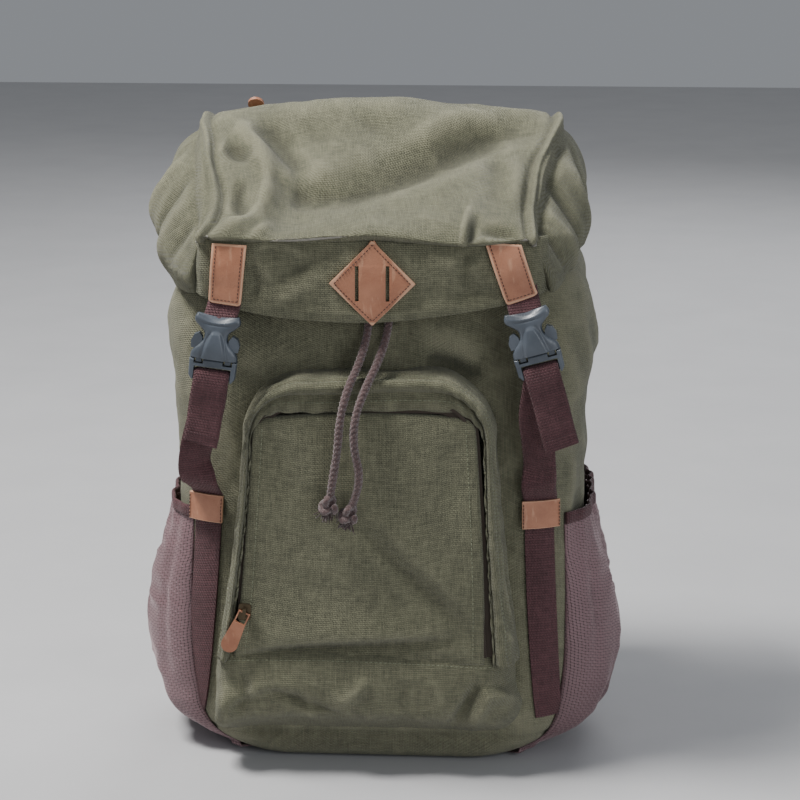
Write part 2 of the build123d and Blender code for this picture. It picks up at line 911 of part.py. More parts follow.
def lid_side(x, bulge, share, hand):
    """One puffed side of the lid, open below and toward the lid's middle."""
    sign = 1 if bulge > 0 else -1
    with BuildPart() as cap:
        loft(
            sections=[
                cap_face(x, share, 1.0, 0, 0),
                cap_face(x + bulge * cap_middle, share, cap_middle_shrink, 0, 0),
                cap_face(x + bulge, share, cap_shrink, 0, 0),
            ],
            ruled=True,
        )
        loft(
            sections=[
                cap_face(x, share, 1.0, cap_opening_drop, lid_wall),
                cap_face(
                    x + bulge * cap_middle, share, cap_middle_shrink, cap_opening_drop, lid_wall
                ),
                cap_face(
                    x + bulge - sign * lid_wall, share, cap_shrink + 0.01, cap_opening_drop, lid_wall
                ),
            ],
            ruled=True,
            mode=Mode.SUBTRACT,
        )
    save(cap, f"lid_side_{hand}")


lid_side(lid_left, -lid_bulge_left, 1.0, "left")
lid_side(lid_right, lid_bulge_right, 0.87, "right")

lining_thickness = 2.0
lining_rise = 8.0
lining_front_gap = 0.4
with BuildPart() as lid_lining:
    with BuildSketch(Plane.YZ.offset(lid_left)):
        with BuildLine():
            Polyline(
                (hinge_y - 5.0, hinge_z + 3.0),
                (lid_ridge_y, hinge_z + lining_rise),
                (lid_front_y + band_thickness + lining_front_gap, band_top - 2.0),
                (
                    lid_front_y + band_thickness + lining_front_gap,
                    band_top - 2.0 - lining_thickness,
                ),
                (lid_ridge_y, hinge_z + lining_rise - lining_thickness),
                (hinge_y - 5.0, hinge_z + 3.0 - lining_thickness),
                close=True,
            )
        make_face()
    extrude(amount=lid_right - lid_left)
save(lid_lining, "lid_lining")

# ---- leather on the lid: diamond patch, tabs and the buckle loops under them ----
patch_centre = (-1.0, lid_seam_z - 28.0)
patch_slot = (2.8, 25.0)
patch_slot_place = 10.5
with BuildPart() as lid_patch:
    with BuildSketch(Plane.XZ.offset(-lid_front_y)):
        with Locations(patch_centre):
            RectangleRounded(
                patch_half_diagonal * 2 * sin(radians(45)),
                patch_half_diagonal * 2 * sin(radians(45)),
                2.0,
                rotation=45,
            )
            with Locations((-patch_slot_place, 0), (patch_slot_place, 0)):
                SlotOverall(patch_slot[1], patch_slot[0], rotation=90, mode=Mode.SUBTRACT)
    extrude(amount=leather_thickness)
save(lid_patch, "lid_patch")

tab_top = {-1: (-half + 51.0, lid_seam_z - 5), 1: (half - 62.0, lid_seam_z - 3)}
loop_leg = 8.0


def lid_tab(side, hand):
    """A leather tab sewn to the band over the ends of the buckle's webbing loop."""
    top = Vector(tab_top[side][0], 0, tab_top[side][1])
    foot = buckle_plane(side, bar_length / 2 - loop_leg - 1.0).origin
    with BuildPart() as tab:
        with BuildSketch(Plane.XZ.offset(-lid_front_y)) as tab_face:
            with BuildLine():
                Line((top.X, top.Z), (foot.X, foot.Z))
            trace(line_width=tab_width)
            fillet(tab_face.vertices(), radius=3.0)
        extrude(amount=leather_thickness)
    save(tab, f"lid_tab_{hand}")


for side, hand in hands:
    lid_tab(side, hand)

with BuildPart() as tab_loops:
    for side, hand in hands:
        bar = side_plane(side, bar_length / 2)
        upside_down = Plane(origin=bar.origin, x_dir=-bar.x_dir, z_dir=bar.z_dir)
        add(hairpin(upside_down, bar_gap, loop_leg))
save(tab_loops, "tab_loops")

# ---- lid zip along the rear edge, with its slider and pull ----
lid_tape_width = 9.0
lid_slider_from_end = 10.0
zip_low = lid_left + 13.0
zip_high = lid_right - 7.0
rear_run = Vector(0, shoulder[0] - hinge_y - 1.0, shoulder[1] - hinge_z - 3.2).normalized()
rear_out = Vector(0, rear_run.Z, -rear_run.Y)
zip_place = Vector(0, shoulder[0], shoulder[1]) - rear_run * zip_drop
with BuildPart() as lid_zip_tape:
    zip_plane = Plane(
        origin=zip_place + Vector(zip_low, 0, 0), x_dir=rear_run, z_dir=Vector(1, 0, 0)
    )
    with BuildSketch(zip_plane):
        with Locations((0, -tape_thickness / 2 - sewn_gap)):
            Rectangle(lid_tape_width, tape_thickness)
        with Locations((0, -tape_thickness - coil_height / 2)):
            Rectangle(2 * coil_half_width, coil_height)
    extrude(amount=zip_high - zip_low)
save(lid_zip_tape, "lid_zip_tape")

lid_slider_out = rear_out * (tape_thickness + sewn_gap + coil_height + 0.4)
lid_slider_x = zip_low + lid_slider_from_end
lid_slider_plane = Plane(
    origin=zip_place + lid_slider_out + Vector(lid_slider_x, 0, 0),
    x_dir=rear_run,
    z_dir=rear_out,
)
with BuildPart() as lid_zip_slider:
    with BuildSketch(lid_slider_plane):
        RectangleRounded(slider_width, slider_length, 2.0)
    extrude(amount=slider_plate)
    for edge in (-1, 1):
        with BuildSketch(lid_slider_plane):
            with Locations((edge * (coil_half_width + 1.0), 0)):
                Rectangle(1.0, slider_length - 4)
        extrude(amount=-coil_height)
    with BuildSketch(lid_slider_plane.offset(slider_plate)):
        Rectangle(slider_length - 5, 2.4)
    extrude(amount=bail_height)
    with BuildSketch(lid_slider_plane.offset(slider_plate)):
        Rectangle(slider_length - 8.5, 2.4)
    extrude(amount=bail_height - 1.4, mode=Mode.SUBTRACT)
save(lid_zip_slider, "lid_zip_slider")

lid_pull_origin = lid_slider_plane.origin + rear_out * (slider_plate + bail_height / 2 - 0.65)
lid_pull_plane = Plane(origin=lid_pull_origin, x_dir=(1, 0, 0), z_dir=rear_out)
leather_pull(lid_pull_plane, lid_pull_length, "lid_zip_pull")

# ---- carrying side: yoke, back pad, shoulder straps, ladder locks and webbing ----
yoke_top = hinge_z - 2.0
with BuildPart() as back_yoke:
    with BuildSketch(Plane.XZ.offset(-back_y - sewn_gap)):
        with Locations((0, (yoke_bottom + yoke_top) / 2)):
            RectangleRounded(2 * yoke_half_width, yoke_top - yoke_bottom, 12.0)
    extrude(amount=-yoke_thickness)
save(back_yoke, "back_yoke")

with BuildPart() as back_pad:
    with BuildSketch(Plane.XZ.offset(-back_y - sewn_gap)):
        with Locations((0, (pad_bottom + yoke_bottom - 3) / 2)):
            RectangleRounded(2 * pad_half_width, yoke_bottom - 3 - pad_bottom, 22.0)
    extrude(amount=-pad_thickness)
    fillet(back_pad.faces().sort_by(Axis.Y)[-1].edges(), radius=5.0)
save(back_pad, "back_pad")

ladder_length = 26.0
ladder_width = 36.0
ladder_thickness = 6.0
ladder_bar = 4.0
ladder_slot = 6.5
ladder_gap = 2 * sewn_gap + 0.6
strap_top_z = bag_height - 2.0
strap_end = (94.0, 108.0)
strap_out = back_y + yoke_thickness + sewn_gap + strap_thickness / 2
strap_side_path = (
    (strap_out + 0.2, strap_top_z),
    (strap_out + 18, strap_top_z - 26),
    (strap_out + 40, strap_top_z - 78),
    (strap_out + 42, strap_top_z - 150),
    (strap_out + 30, strap_top_z - 212),
    (strap_out + 14, strap_end[1]),
)
strap_front_path = (
    (42.0, strap_top_z, strap_width / 2),
    (46.0, strap_top_z - 80, strap_width / 2 + 1),
    (60.0, strap_top_z - 160, strap_width / 2 + 1),
    (80.0, strap_top_z - 222, strap_width / 2 - 6),
    (strap_end[0], strap_end[1], ladder_width / 2 - 1),
)
anchor_place = (half - 39.0, 30.0)
lock_path_y = strap_out + 14


def strap_outline(side):
    """The strap laid flat: its middle line moved out by its half width on either side."""
    inner = []
    outer = []
    for index, (x, z, half_width) in enumerate(strap_front_path):
        before = strap_front_path[max(index - 1, 0)]
        after = strap_front_path[min(index + 1, len(strap_front_path) - 1)]
        along = Vector(after[0] - before[0], after[1] - before[1]).normalized()
        inner.append((side * (x + along.Y * half_width), z - along.X * half_width))
        outer.append((side * (x - along.Y * half_width), z + along.X * half_width))
    return inner + outer[::-1]


def shoulder_strap(side, hand):
    """A padded strap that stands off the back in a curve and narrows to its ladder lock."""
    outline = strap_outline(side)
    with BuildPart() as strap:
        with BuildSketch(Plane.YZ):
            with BuildLine():
                FilletPolyline(*strap_side_path, radius=40.0)
            trace(line_width=strap_thickness)
        extrude(amount=bag_width, both=True)
        with BuildSketch(Plane.XZ):
            with BuildLine():
                Polyline(*outline, close=True)
            make_face()
        extrude(amount=bag_width, both=True, mode=Mode.INTERSECT)
    save(strap, f"shoulder_strap_{hand}")


def ladder_plane(side):
    """The ladder lock's plane at the strap's lower end: X across it, Y up, Z backward."""
    run = Vector(side * (anchor_place[0] - strap_end[0]), 0, anchor_place[1] - strap_end[1])
    up = -run.normalized()
    across = up.cross(Vector(0, 1, 0))
    top = Vector(side * strap_end[0], lock_path_y, strap_end[1]) - up * ladder_gap
    return Plane(origin=top, x_dir=across, z_dir=(0, 1, 0))


for side, hand in hands:
    shoulder_strap(side, hand)

with BuildPart() as strap_ladders:
    for side, hand in hands:
        place = ladder_plane(side)
        with BuildSketch(place.offset(-ladder_thickness / 2)):
            with Locations((0, -ladder_length / 2)):
                RectangleRounded(ladder_width, ladder_length, 3.0)
            for slot_low in (ladder_bar - ladder_length, ladder_bar - 0.5 - ladder_length / 2):
                with Locations((0, slot_low + ladder_slot / 2)):
                    Rectangle(2 * slot_half, ladder_slot, mode=Mode.SUBTRACT)
        extrude(amount=ladder_thickness)
save(strap_ladders, "strap_ladders")


def lower_webbing(side, hand):
    """The adjusting webbing: round the ladder lock's lower bar and down to the corner tab."""
    place = ladder_plane(side)
    bar = place.from_local_coords((0, ladder_bar / 2 - ladder_length))
    side_view = Plane(origin=bar, x_dir=(0, 1, 0), z_dir=-place.x_dir)
    upside_down = Plane(origin=bar, x_dir=(0, -1, 0), z_dir=place.x_dir)
    leg_gap = 2 * (hypot(ladder_thickness / 2, ladder_bar / 2) + webbing_clearance)
    leg_y = lock_path_y - leg_gap / 2 - webbing_thickness / 2
    leg_end = place.from_local_coords((0, ladder_bar / 2 - ladder_length - strap_leg + 1))
    anchor_x, anchor_z = anchor_place
    with BuildPart() as strap:
        add(hairpin(side_view, leg_gap, strap_leg))
        add(
            ribbon(
                ((leg_y, leg_end.Z + 1), (anchor_y, anchor_z)),
                ((leg_end.X, leg_end.Z + 1), (side * anchor_x, anchor_z)),
                webbing_width,
            )
        )
    save(strap, f"lower_webbing_{hand}")


tab_thickness = 2.0
anchor_y = back_y + sewn_gap + tab_thickness + sewn_gap + webbing_thickness / 2
for side, hand in hands:
    lower_webbing(side, hand)

with BuildPart() as corner_tabs:
    for side, hand in hands:
        x, z = anchor_place
        with BuildSketch(Plane.XZ.offset(-back_y - sewn_gap - tab_thickness)):
            with BuildLine():
                Polyline(
                    (side * (x - 15), z + 12),
                    (side * (x + 16), z + 12),
                    (side * (x + 16), z - 18),
                    (side * (x + 2), z - 18),
                    close=True,
                )
            make_face()
        extrude(amount=tab_thickness + corner_radius / 4)
    add(bag_skin, mode=Mode.SUBTRACT)
save(corner_tabs, "corner_tabs")

# ---- grab handle between two sewn tabs ----
with BuildPart() as handle_tabs:
    for side, hand in hands:
        with BuildSketch(Plane.XZ.offset(-back_y - yoke_thickness - 2 * sewn_gap)):
            with Locations((side * handle_half, handle_z)):
                RectangleRounded(handle_tab_width, handle_tab_height, 3.0)
        extrude(amount=-(handle_y - handle_radius - handle_clearance - back_y - yoke_thickness - 0.3))
save(handle_tabs, "handle_tabs")

handle_plane = Plane(
    origin=(0, handle_y, handle_z),
    x_dir=(1, 0, 0),
    z_dir=(0, sin(handle_droop), cos(handle_droop)),
)
with BuildPart() as grab_handle:
    with BuildLine(handle_plane) as handle_path:
        FilletPolyline(
            (-handle_half, 0),
            (-handle_half, handle_reach),
            (handle_half, handle_reach),
            (handle_half, 0),
            radius=handle_reach * 0.7,
        )
    with BuildSketch(Plane(origin=handle_path.line @ 0, z_dir=handle_path.line % 0)):
        Circle(handle_radius)
    sweep(path=handle_path.line)
    for side, hand in hands:
        with BuildSketch(Plane.YZ.offset(side * handle_half - handle_pin_length / 2)):
            with Locations((handle_y, handle_z)):
                Circle(handle_radius)
        extrude(amount=handle_pin_length)
save(grab_handle, "grab_handle")

# ---- free ends of the drawcord: out of the lock, over the collar and down the front ----
left_cord = (
    (-1.0, lock_y - 8.2, lock_z), (-1.5, lock_y - 20, lock_z - 0.5),
    (-2.0, lock_y - 33, lock_z - 9), (-3.0, lock_y - 39.5, lock_z - 25),
    (-4.0, lock_y - 42, lock_z - 44), (-5.0, lock_y - 44, lock_z - 64),
    (-10.0, lock_y - 54, lock_z - 82), (-18.0, lock_y - 64, lock_z - 99),
    (-23.0, lock_y - 68.5, lock_z - 119), (-24.5, lock_y - 69, lock_z - 141),
    (-27.5, lock_y - 68.3, lock_z - 159), (-30.0, lock_y - 68, lock_z - 175),
)
right_cord = (
    (7.0, lock_y - 8.2, lock_z), (7.4, lock_y - 20, lock_z - 0.4),
    (8.0, lock_y - 33, lock_z - 9), (9.0, lock_y - 39.5, lock_z - 25),
    (10.0, lock_y - 42, lock_z - 44), (9.0, lock_y - 44, lock_z - 63),
    (3.0, lock_y - 54, lock_z - 81), (-6.0, lock_y - 64, lock_z - 99),
    (-13.0, lock_y - 69, lock_z - 119), (-13.5, lock_y - 70, lock_z - 139),
    (-9.5, lock_y - 68.5, lock_z - 156), (-10.5, lock_y - 68, lock_z - 170),
    (-15.0, lock_y - 67.5, lock_z - 182),
)
knot_radius = 6.8
knot_length = 17.0


def corner_radii(points):
    """Each corner's arc: as large as the shorter of its two runs allows."""
    radii = []
    for before, here, after in zip(points, points[1:], points[2:]):
        into = Vector(*here) - Vector(*before)
        away = Vector(*after) - Vector(*here)
        turn = radians(into.get_angle(away))
        radii.append(0.45 * min(into.length, away.length) / tan(turn / 2))
    return radii


def cord_end(points, hand):
    """One free end of the drawcord and the knot tied in it."""
    radii = corner_radii(points)
    with BuildPart() as cord:
        with BuildLine() as route:
            FilletPolyline(*points, radius=radii)
        with BuildSketch(Plane(origin=route.line @ 0, z_dir=route.line % 0)):
            Circle(cord_diameter / 2)
        sweep(path=route.line)
    length = sum(edge.length for edge in route.edges())
    section = cord.part.volume / length
    print(f"drawcord_{hand} length {length:.1f} section {section:.3f} mm2")
    print("  radii", " ".join(f"{radius:.0f}" for radius in radii))
    save(cord, f"drawcord_{hand}")
    with BuildPart() as knot:
        with BuildSketch(Plane(origin=route.line @ 1, z_dir=route.line % 1)):
            Circle(knot_radius)
        extrude(amount=knot_length)
        fillet(knot.edges().filter_by(GeomType.CIRCLE), radius=3.6)
    save(knot, f"cord_knot_{hand}")


cord_end(left_cord, "left")
cord_end(right_cord, "right")
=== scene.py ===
import json

import bmesh
import bpy
import numpy as np
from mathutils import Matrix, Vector

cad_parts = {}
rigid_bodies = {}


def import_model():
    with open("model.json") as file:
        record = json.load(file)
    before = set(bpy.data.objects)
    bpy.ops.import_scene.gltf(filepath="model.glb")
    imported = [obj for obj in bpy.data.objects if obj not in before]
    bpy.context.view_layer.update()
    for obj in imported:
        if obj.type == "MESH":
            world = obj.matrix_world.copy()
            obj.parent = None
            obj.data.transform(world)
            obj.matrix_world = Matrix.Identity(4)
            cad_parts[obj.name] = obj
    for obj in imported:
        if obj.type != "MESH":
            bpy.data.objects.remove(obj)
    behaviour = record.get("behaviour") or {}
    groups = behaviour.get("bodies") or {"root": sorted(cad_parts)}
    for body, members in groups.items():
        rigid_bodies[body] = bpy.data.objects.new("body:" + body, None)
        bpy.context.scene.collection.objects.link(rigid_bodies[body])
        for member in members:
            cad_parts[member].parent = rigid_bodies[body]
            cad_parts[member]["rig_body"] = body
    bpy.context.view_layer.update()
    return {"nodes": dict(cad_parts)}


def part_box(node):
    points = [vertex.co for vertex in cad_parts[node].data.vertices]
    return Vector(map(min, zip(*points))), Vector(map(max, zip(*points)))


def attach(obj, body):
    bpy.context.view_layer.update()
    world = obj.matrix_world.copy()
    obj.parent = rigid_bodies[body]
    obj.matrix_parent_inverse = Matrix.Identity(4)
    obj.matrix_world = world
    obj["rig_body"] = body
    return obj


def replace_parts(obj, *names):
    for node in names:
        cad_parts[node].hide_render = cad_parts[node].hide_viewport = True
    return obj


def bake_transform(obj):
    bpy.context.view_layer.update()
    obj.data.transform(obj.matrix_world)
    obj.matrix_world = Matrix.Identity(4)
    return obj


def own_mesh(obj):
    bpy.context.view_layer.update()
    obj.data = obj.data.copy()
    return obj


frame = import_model()
nodes = frame["nodes"]
mm = 0.001
both_sides = ((-1, "left"), (1, "right"))

# ---- floor, light and camera ----
# A plain pale floor under one large soft light from the upper left, with a weak fill from the right,
# and a long lens a little above the bag.
floor_half = 4.0
floor_drop = 0.0006
eye = Vector((0.11449, -1.69110, 0.68961))
looked_at = Vector((0.01105, 0.0, 0.25144))
lens, sensor_width = 106.3, 36.0
world_colour, world_strength = (0.80, 0.84, 0.90, 1), 0.31


class Wiring:
    """The nodes of one material or group: each call adds a node, joins what it is given and returns its output."""

    def __init__(self, tree):
        self.tree = tree

    def join(self, socket, value):
        if isinstance(value, bpy.types.NodeSocket):
            self.tree.links.new(value, socket)
        elif value is not None:
            socket.default_value = value

    def add(self, kind, values=(), output=0, **settings):
        node = self.tree.nodes.new("ShaderNode" + kind)
        for key, value in settings.items():
            setattr(node, key, value)
        for key, value in dict(values).items():
            self.join(node.inputs[key], value)
        return node.outputs[output]

    def math(self, operation, *values):
        return self.add("Math", dict(enumerate(values)), operation=operation)

    def times(self, first, second):
        return self.math("MULTIPLY", first, second)

    def plus(self, first, second):
        return self.math("ADD", first, second)

    def mix(self, factor, first, second):
        return self.add("Mix", {0: factor, 6: first, 7: second}, 2, data_type="RGBA", blend_type="MIX")

    def noise(self, vector, scale, detail=2.0, rough=0.5):
        return self.add("TexNoise", {"Vector": vector, "Scale": scale, "Detail": detail, "Roughness": rough})

    def span(self, value, low, high, to_low=0.0, to_high=1.0):
        return self.add("MapRange", {0: value, 1: low, 2: high, 3: to_low, 4: to_high})

    def stretch(self, vector, scale):
        return self.add("Mapping", {"Vector": vector, "Scale": scale})

    def place(self):
        return self.add("TexCoord", output=3)

    def rub(self):
        return self.add("Attribute", output=2, attribute_name="rub")

    def bump(self, shader, strength, distance, height):
        self.join(shader["Normal"], self.add("Bump", {"Strength": strength, "Distance": distance, "Height": height}))


def new_material(name, **fixed):
    """A material with only its Principled shader, some of its inputs fixed, and the wiring that feeds it."""
    material = bpy.data.materials.new(name)
    material.use_nodes = True
    shader = material.node_tree.nodes["Principled BSDF"].inputs
    for key, value in fixed.items():
        shader[key.replace("_", " ")].default_value = value
    return material, Wiring(material.node_tree), shader


def dim(colour, share):
    """A colour darkened to a share of itself."""
    return tuple(share * v for v in colour[:3]) + (1,)


def add_object(name, data):
    """An object that shows its data in the scene."""
    thing = bpy.data.objects.new(name, data)
    bpy.context.scene.collection.objects.link(thing)
    return thing


floor_mesh = bpy.data.meshes.new("floor")
corners = [(x * floor_half, y * floor_half, -floor_drop) for x, y in ((-1, -1), (1, -1), (1, 1), (-1, 1))]
floor_mesh.from_pydata(corners, [], [(0, 1, 2, 3)])
floor = add_object("floor", floor_mesh)
floor_material, wires, shader = new_material("floor_pale", Roughness=0.85)
speckle = wires.noise(wires.place(), 9.0, 6.0, 0.6)
wires.join(shader["Base Color"], wires.mix(speckle, (0.40, 0.40, 0.41, 1), (0.47, 0.47, 0.475, 1)))
floor_mesh.materials.append(floor_material)

world = bpy.data.worlds.new("studio")
world.use_nodes = True
sky = world.node_tree.nodes["Background"].inputs
sky["Color"].default_value, sky["Strength"].default_value = world_colour, world_strength
bpy.context.scene.world = world


def aim(thing, place):
    """A light or camera put in its place and turned towards the middle of the bag."""
    thing.location = place
    thing.rotation_euler = (looked_at - place).to_track_quat("-Z", "Y").to_euler()


def soft_light(name, place, size, power, colour):
    """A square area light aimed at the middle of the bag."""
    light = bpy.data.lights.new(name, "AREA")
    light.size, light.energy, light.color = size, power, colour
    aim(add_object(name, light), Vector(place))


soft_light("key", (-0.90, -0.28, 2.05), 0.6, 84.0, (1.0, 0.985, 0.96))
soft_light("fill", (1.5, -1.9, 0.9), 1.6, 23.0, (0.93, 0.96, 1.0))
soft_light("rear", (0.5, 1.9, 1.5), 1.4, 24.0, (0.97, 0.98, 1.0))

camera = add_object("camera", bpy.data.cameras.new("camera"))
camera.data.lens, camera.data.sensor_width = lens, sensor_width
aim(camera, eye)
bpy.context.scene.camera = camera

# ---- bag shell ----
# The sack: heavy olive canvas panels sewn into one tall box with soft round corners, a stiffened floor
# turned up at the sides, and a gathered collar at the top. It is lined with thin pale cotton.
bag_stations = [
    # height, half width, front, back, corner radius
    (1.4, 40, -30, 28, 26),
    (1.0, 88, -66, 62, 38),
    (1.6, 104, -77, 72, 42),
    (6, 116, -82, 77, 45),
    (14, 130, -84.5, 79, 47),
    (24, 139, -86, 79.5, 48),
    (60, 147, -87, 79.5, 48),
    (120, 149, -87, 79.5, 48),
    (185, 147, -87, 79.5, 47),
    (245, 147, -88, 79.5, 46),
    (300, 152, -91, 79.5, 46),
    (345, 148, -89, 79.5, 46),
    (366, 139, -81, 79, 46),
    (376, 126, -68, 73, 43),
    (382, 112, -53, 60, 38),
    (387.5, 100, -39, 45, 33),
    (391, 95, -34.5, 38.5, 31),
    (390.5, 92, -31, 35, 29),
    (385, 92, -31, 35, 29),
    (376, 93, -32, 36, 29),
]
bag_rows, bag_columns = 138, 264
plan_half, plan_depth, plan_radius = 148.0, 83.0, 47.0
canvas_wall = 1.5
rub_share = 0.3


def through(keys, values, at):
    """A smooth curve through values at keys: a cubic between each pair, whose slope at a key is the average of
    the straight slopes on its two sides."""
    keys, values = np.asarray(keys, float), np.asarray(values, float)
    values = values.reshape(len(keys), -1)
    slope = np.diff(values, axis=0) / np.diff(keys)[:, None]
    slope_at = np.vstack([slope[:1], (slope[1:] + slope[:-1]) / 2, slope[-1:]])
    i = np.clip(np.searchsorted(keys, at, side="right") - 1, 0, len(keys) - 2)
    step = (keys[i + 1] - keys[i])[..., None]
    t = (at - keys[i])[..., None] / step
    start, end = values[i], values[i + 1]
    return (
        start * (1 + 2 * t) * (1 - t) ** 2
        + end * t**2 * (3 - 2 * t)
        + step * (slope_at[i] * t * (1 - t) ** 2 - slope_at[i + 1] * t**2 * (1 - t))
    )


def lengths(points, axis):
    """Distance covered along an axis of a grid, from its first row or column."""
    steps = np.linalg.norm(np.diff(points, axis=axis), axis=-1)
    start = np.zeros_like(np.take(steps, [0], axis=axis))
    return np.concatenate([start, np.cumsum(steps, axis=axis)], axis=axis)


def unit(ways):
    """Directions with a length of one."""
    return ways / np.linalg.norm(ways, axis=-1, keepdims=True)


def rise(value, start, width):
    """0 up to start, 1 from start + width on, and straight in between."""
    return np.clip((value - start) / width, 0, 1)


def fall(value, end, width):
    """1 up to end - width, 0 from end on, and straight in between."""
    return np.clip((end - value) / width, 0, 1)


def bell(value, width):
    """exp(-(value / width)^2): 1 at nothing, falling away on both sides."""
    return np.exp(-((value / width) ** 2))


def normals(points, around=False):
    """Unit normals of a grid: its step down the rows crossed with its step along them."""
    down = np.gradient(points, axis=0)
    if around:
        along = np.roll(points, -1, axis=1) - np.roll(points, 1, axis=1)
    else:
        along = np.gradient(points, axis=1)
    normal = np.cross(along, down)
    return normal / np.maximum(np.linalg.norm(normal, axis=-1, keepdims=True), 1e-9)


def facings(points, inside, around=False):
    """Normals of a grid, turned away from a point inside."""
    way = normals(points, around)
    return way * np.sign((way * (points - np.array(inside, float))).sum(-1, keepdims=True).mean())


def fold(across, up, line, width, height, lower=None):
    """One fold in cloth: a bell over the distance to a smooth line, fading to nothing at the line's ends.
    A different width for its lower side makes it lean."""
    line = np.array(line, float)
    line = through(np.arange(len(line)), line, np.linspace(0, len(line) - 1, 40))
    gap = np.stack(np.broadcast_arrays(across, up), -1)[..., None, :] - line
    nearest = (gap**2).sum(-1).argmin(-1)
    step = np.gradient(line, axis=0)[nearest]
    offset = np.take_along_axis(gap, nearest[..., None, None], -2)[..., 0, :]
    ahead = np.clip((offset * step).sum(-1) / (step**2).sum(-1), -0.5, 0.5)
    distance = np.linalg.norm(offset - ahead[..., None] * step, axis=-1)
    above = step[..., 0] * offset[..., 1] - step[..., 1] * offset[..., 0] > 0
    reach = np.where(above, width, width if lower is None else lower)
    fade = np.sin(np.pi * np.clip((nearest + ahead + 1) / (len(line) + 1), 0, 1)) ** 0.7
    return height * fade * bell(distance, reach)


def folds(across, up, *marks):
    """Several folds added up."""
    return sum(fold(across, up, *mark) for mark in marks)


def crumple(across, up, seed, size, height):
    """Fine crumples: waves in random directions added up, folded at zero so that they meet in creases."""
    chance = np.random.default_rng(seed)
    total = np.zeros_like(across)
    for _ in range(9):
        turn, phase = chance.uniform(0, 2 * np.pi, 2)
        wave = size * chance.uniform(0.7, 1.8)
        total = total + np.sin((across * np.cos(turn) + up * np.sin(turn)) * 2 * np.pi / wave + phase)
    return height * (0.8 - np.abs(total) / 2.2)


def make_mesh(name, points, faces, material, body):
    """A smooth-shaded piece from points in millimetres and lists of corners, riding on a body."""
    mesh = bpy.data.meshes.new(name)
    mesh.from_pydata((np.asarray(points) * mm).tolist(), [], faces)
    mesh.polygons.foreach_set("use_smooth", np.ones(len(mesh.polygons), bool))
    mesh.materials.append(material)
    piece = add_object(name, mesh)
    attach(piece, body)
    return piece


def grid_piece(
    name, points, material, body, inside, around=False, wall=0.0, inner=None, ends=(), weight=1.0
):
    """Cloth from a grid of points: faces join neighbours, its UV map is the cloth's own length in metres, and an
    attribute holds how far each point stands out from its neighbours: high where cloth rubs, low in hollows, which
    the materials paint darker as dirt and painted shade. Points round a closed section join up, ends are capped by
    a middle point, and a wall is turned to the inside."""
    rows, columns = points.shape[:2]
    loop = np.concatenate([points, points[:, :1]], axis=1) if around else points
    across, along = lengths(loop, 1), lengths(loop, 0)
    across -= across[:, across.shape[1] // 2][:, None]
    r, c = np.meshgrid(np.arange(rows - 1), np.arange(columns if around else columns - 1), indexing="ij")
    r, c = r.ravel(), c.ravel()
    corner_rows, corner_columns = np.stack([r, r, r + 1, r + 1], 1), np.stack([c, c + 1, c + 1, c], 1)
    faces = corner_rows * columns + corner_columns % columns
    flat = points.reshape(-1, 3)
    a, b, d = flat[faces[:, 0]], flat[faces[:, 1]], flat[faces[:, 3]]
    turned = np.cross(b - a, d - a)
    outward = (turned * (a - np.array(inside))).sum() > 0
    uv = np.stack([across[corner_rows, corner_columns], along[corner_rows, corner_columns]], -1) * mm
    if not outward:
        faces, uv = faces[:, ::-1], uv[:, ::-1]
    face_list, uv_list, extra = faces.tolist(), [uv.reshape(-1, 2)], []
    for end in ends:
        row = 0 if end == "first" else rows - 1
        middle = len(flat) + len(extra)
        extra.append(points[row].mean(0))
        for k in range(columns):
            edge = [row * columns + k, row * columns + (k + 1) % columns]
            face_list.append([*(edge if (end == "last") == outward else edge[::-1]), middle])
        uv_list.append(np.full((3 * columns, 2), along[row].mean() * mm))
    piece = make_mesh(name, np.vstack([flat, *extra]) if extra else flat, face_list, material, body)
    mesh = piece.data
    mesh.uv_layers.new(name="cloth").data.foreach_set("uv", np.concatenate(uv_list).ravel())
    normal = normals(points, around) * (-1 if not outward else 1)
    spread = np.zeros(points.shape)
    for step in (2, 5):
        rolled = [np.roll(points, s, axis) for axis in (0, 1) for s in (-step, step)]
        spread += (points - sum(rolled) / 4) / step
    rub = (spread * normal).sum(-1) * weight * rub_share
    rub[:6], rub[-6:] = 0, 0
    if not around:
        rub[:, :6], rub[:, -6:] = 0, 0
    rub = np.concatenate([np.clip(rub, -1, 1).ravel(), np.zeros(len(extra))])
    mesh.attributes.new("rub", "FLOAT", "POINT").data.foreach_set("value", rub.astype(np.float32))
    if inner is not None:
        mesh.materials.append(inner)
    if wall:
        solid = piece.modifiers.new("wall", "SOLIDIFY")
        solid.thickness, solid.offset = wall * mm, -1
        solid.material_offset = 1 if inner is not None else 0
    return piece


def closed_piece(name, points, material, body, inside, weight=1.0):
    """A grid piece whose rows join up round it, with a cap on both ends."""
    return grid_piece(
        name, points, material, body, tuple(inside), around=True, ends=("first", "last"), weight=weight
    )


def group(name, inputs, outputs):
    """A shader node group with named inputs and outputs, and the wiring inside it."""
    tree = bpy.data.node_groups.new(name, "ShaderNodeTree")
    for label, kind, value in inputs:
        socket = tree.interface.new_socket(label, in_out="INPUT", socket_type="NodeSocket" + kind)
        if value is not None:
            socket.default_value = value
    for label, kind in outputs:
        tree.interface.new_socket(label, in_out="OUTPUT", socket_type="NodeSocket" + kind)
    start, end = tree.nodes.new("NodeGroupInput"), tree.nodes.new("NodeGroupOutput")
    return tree, Wiring(tree), start.outputs, end.inputs


def use(wires, tree, **values):
    """A group placed in a material, with its own values."""
    node = wires.tree.nodes.new("ShaderNodeGroup")
    node.node_tree = tree
    for key, value in values.items():
        wires.join(node.inputs[key], value)
    return node.outputs
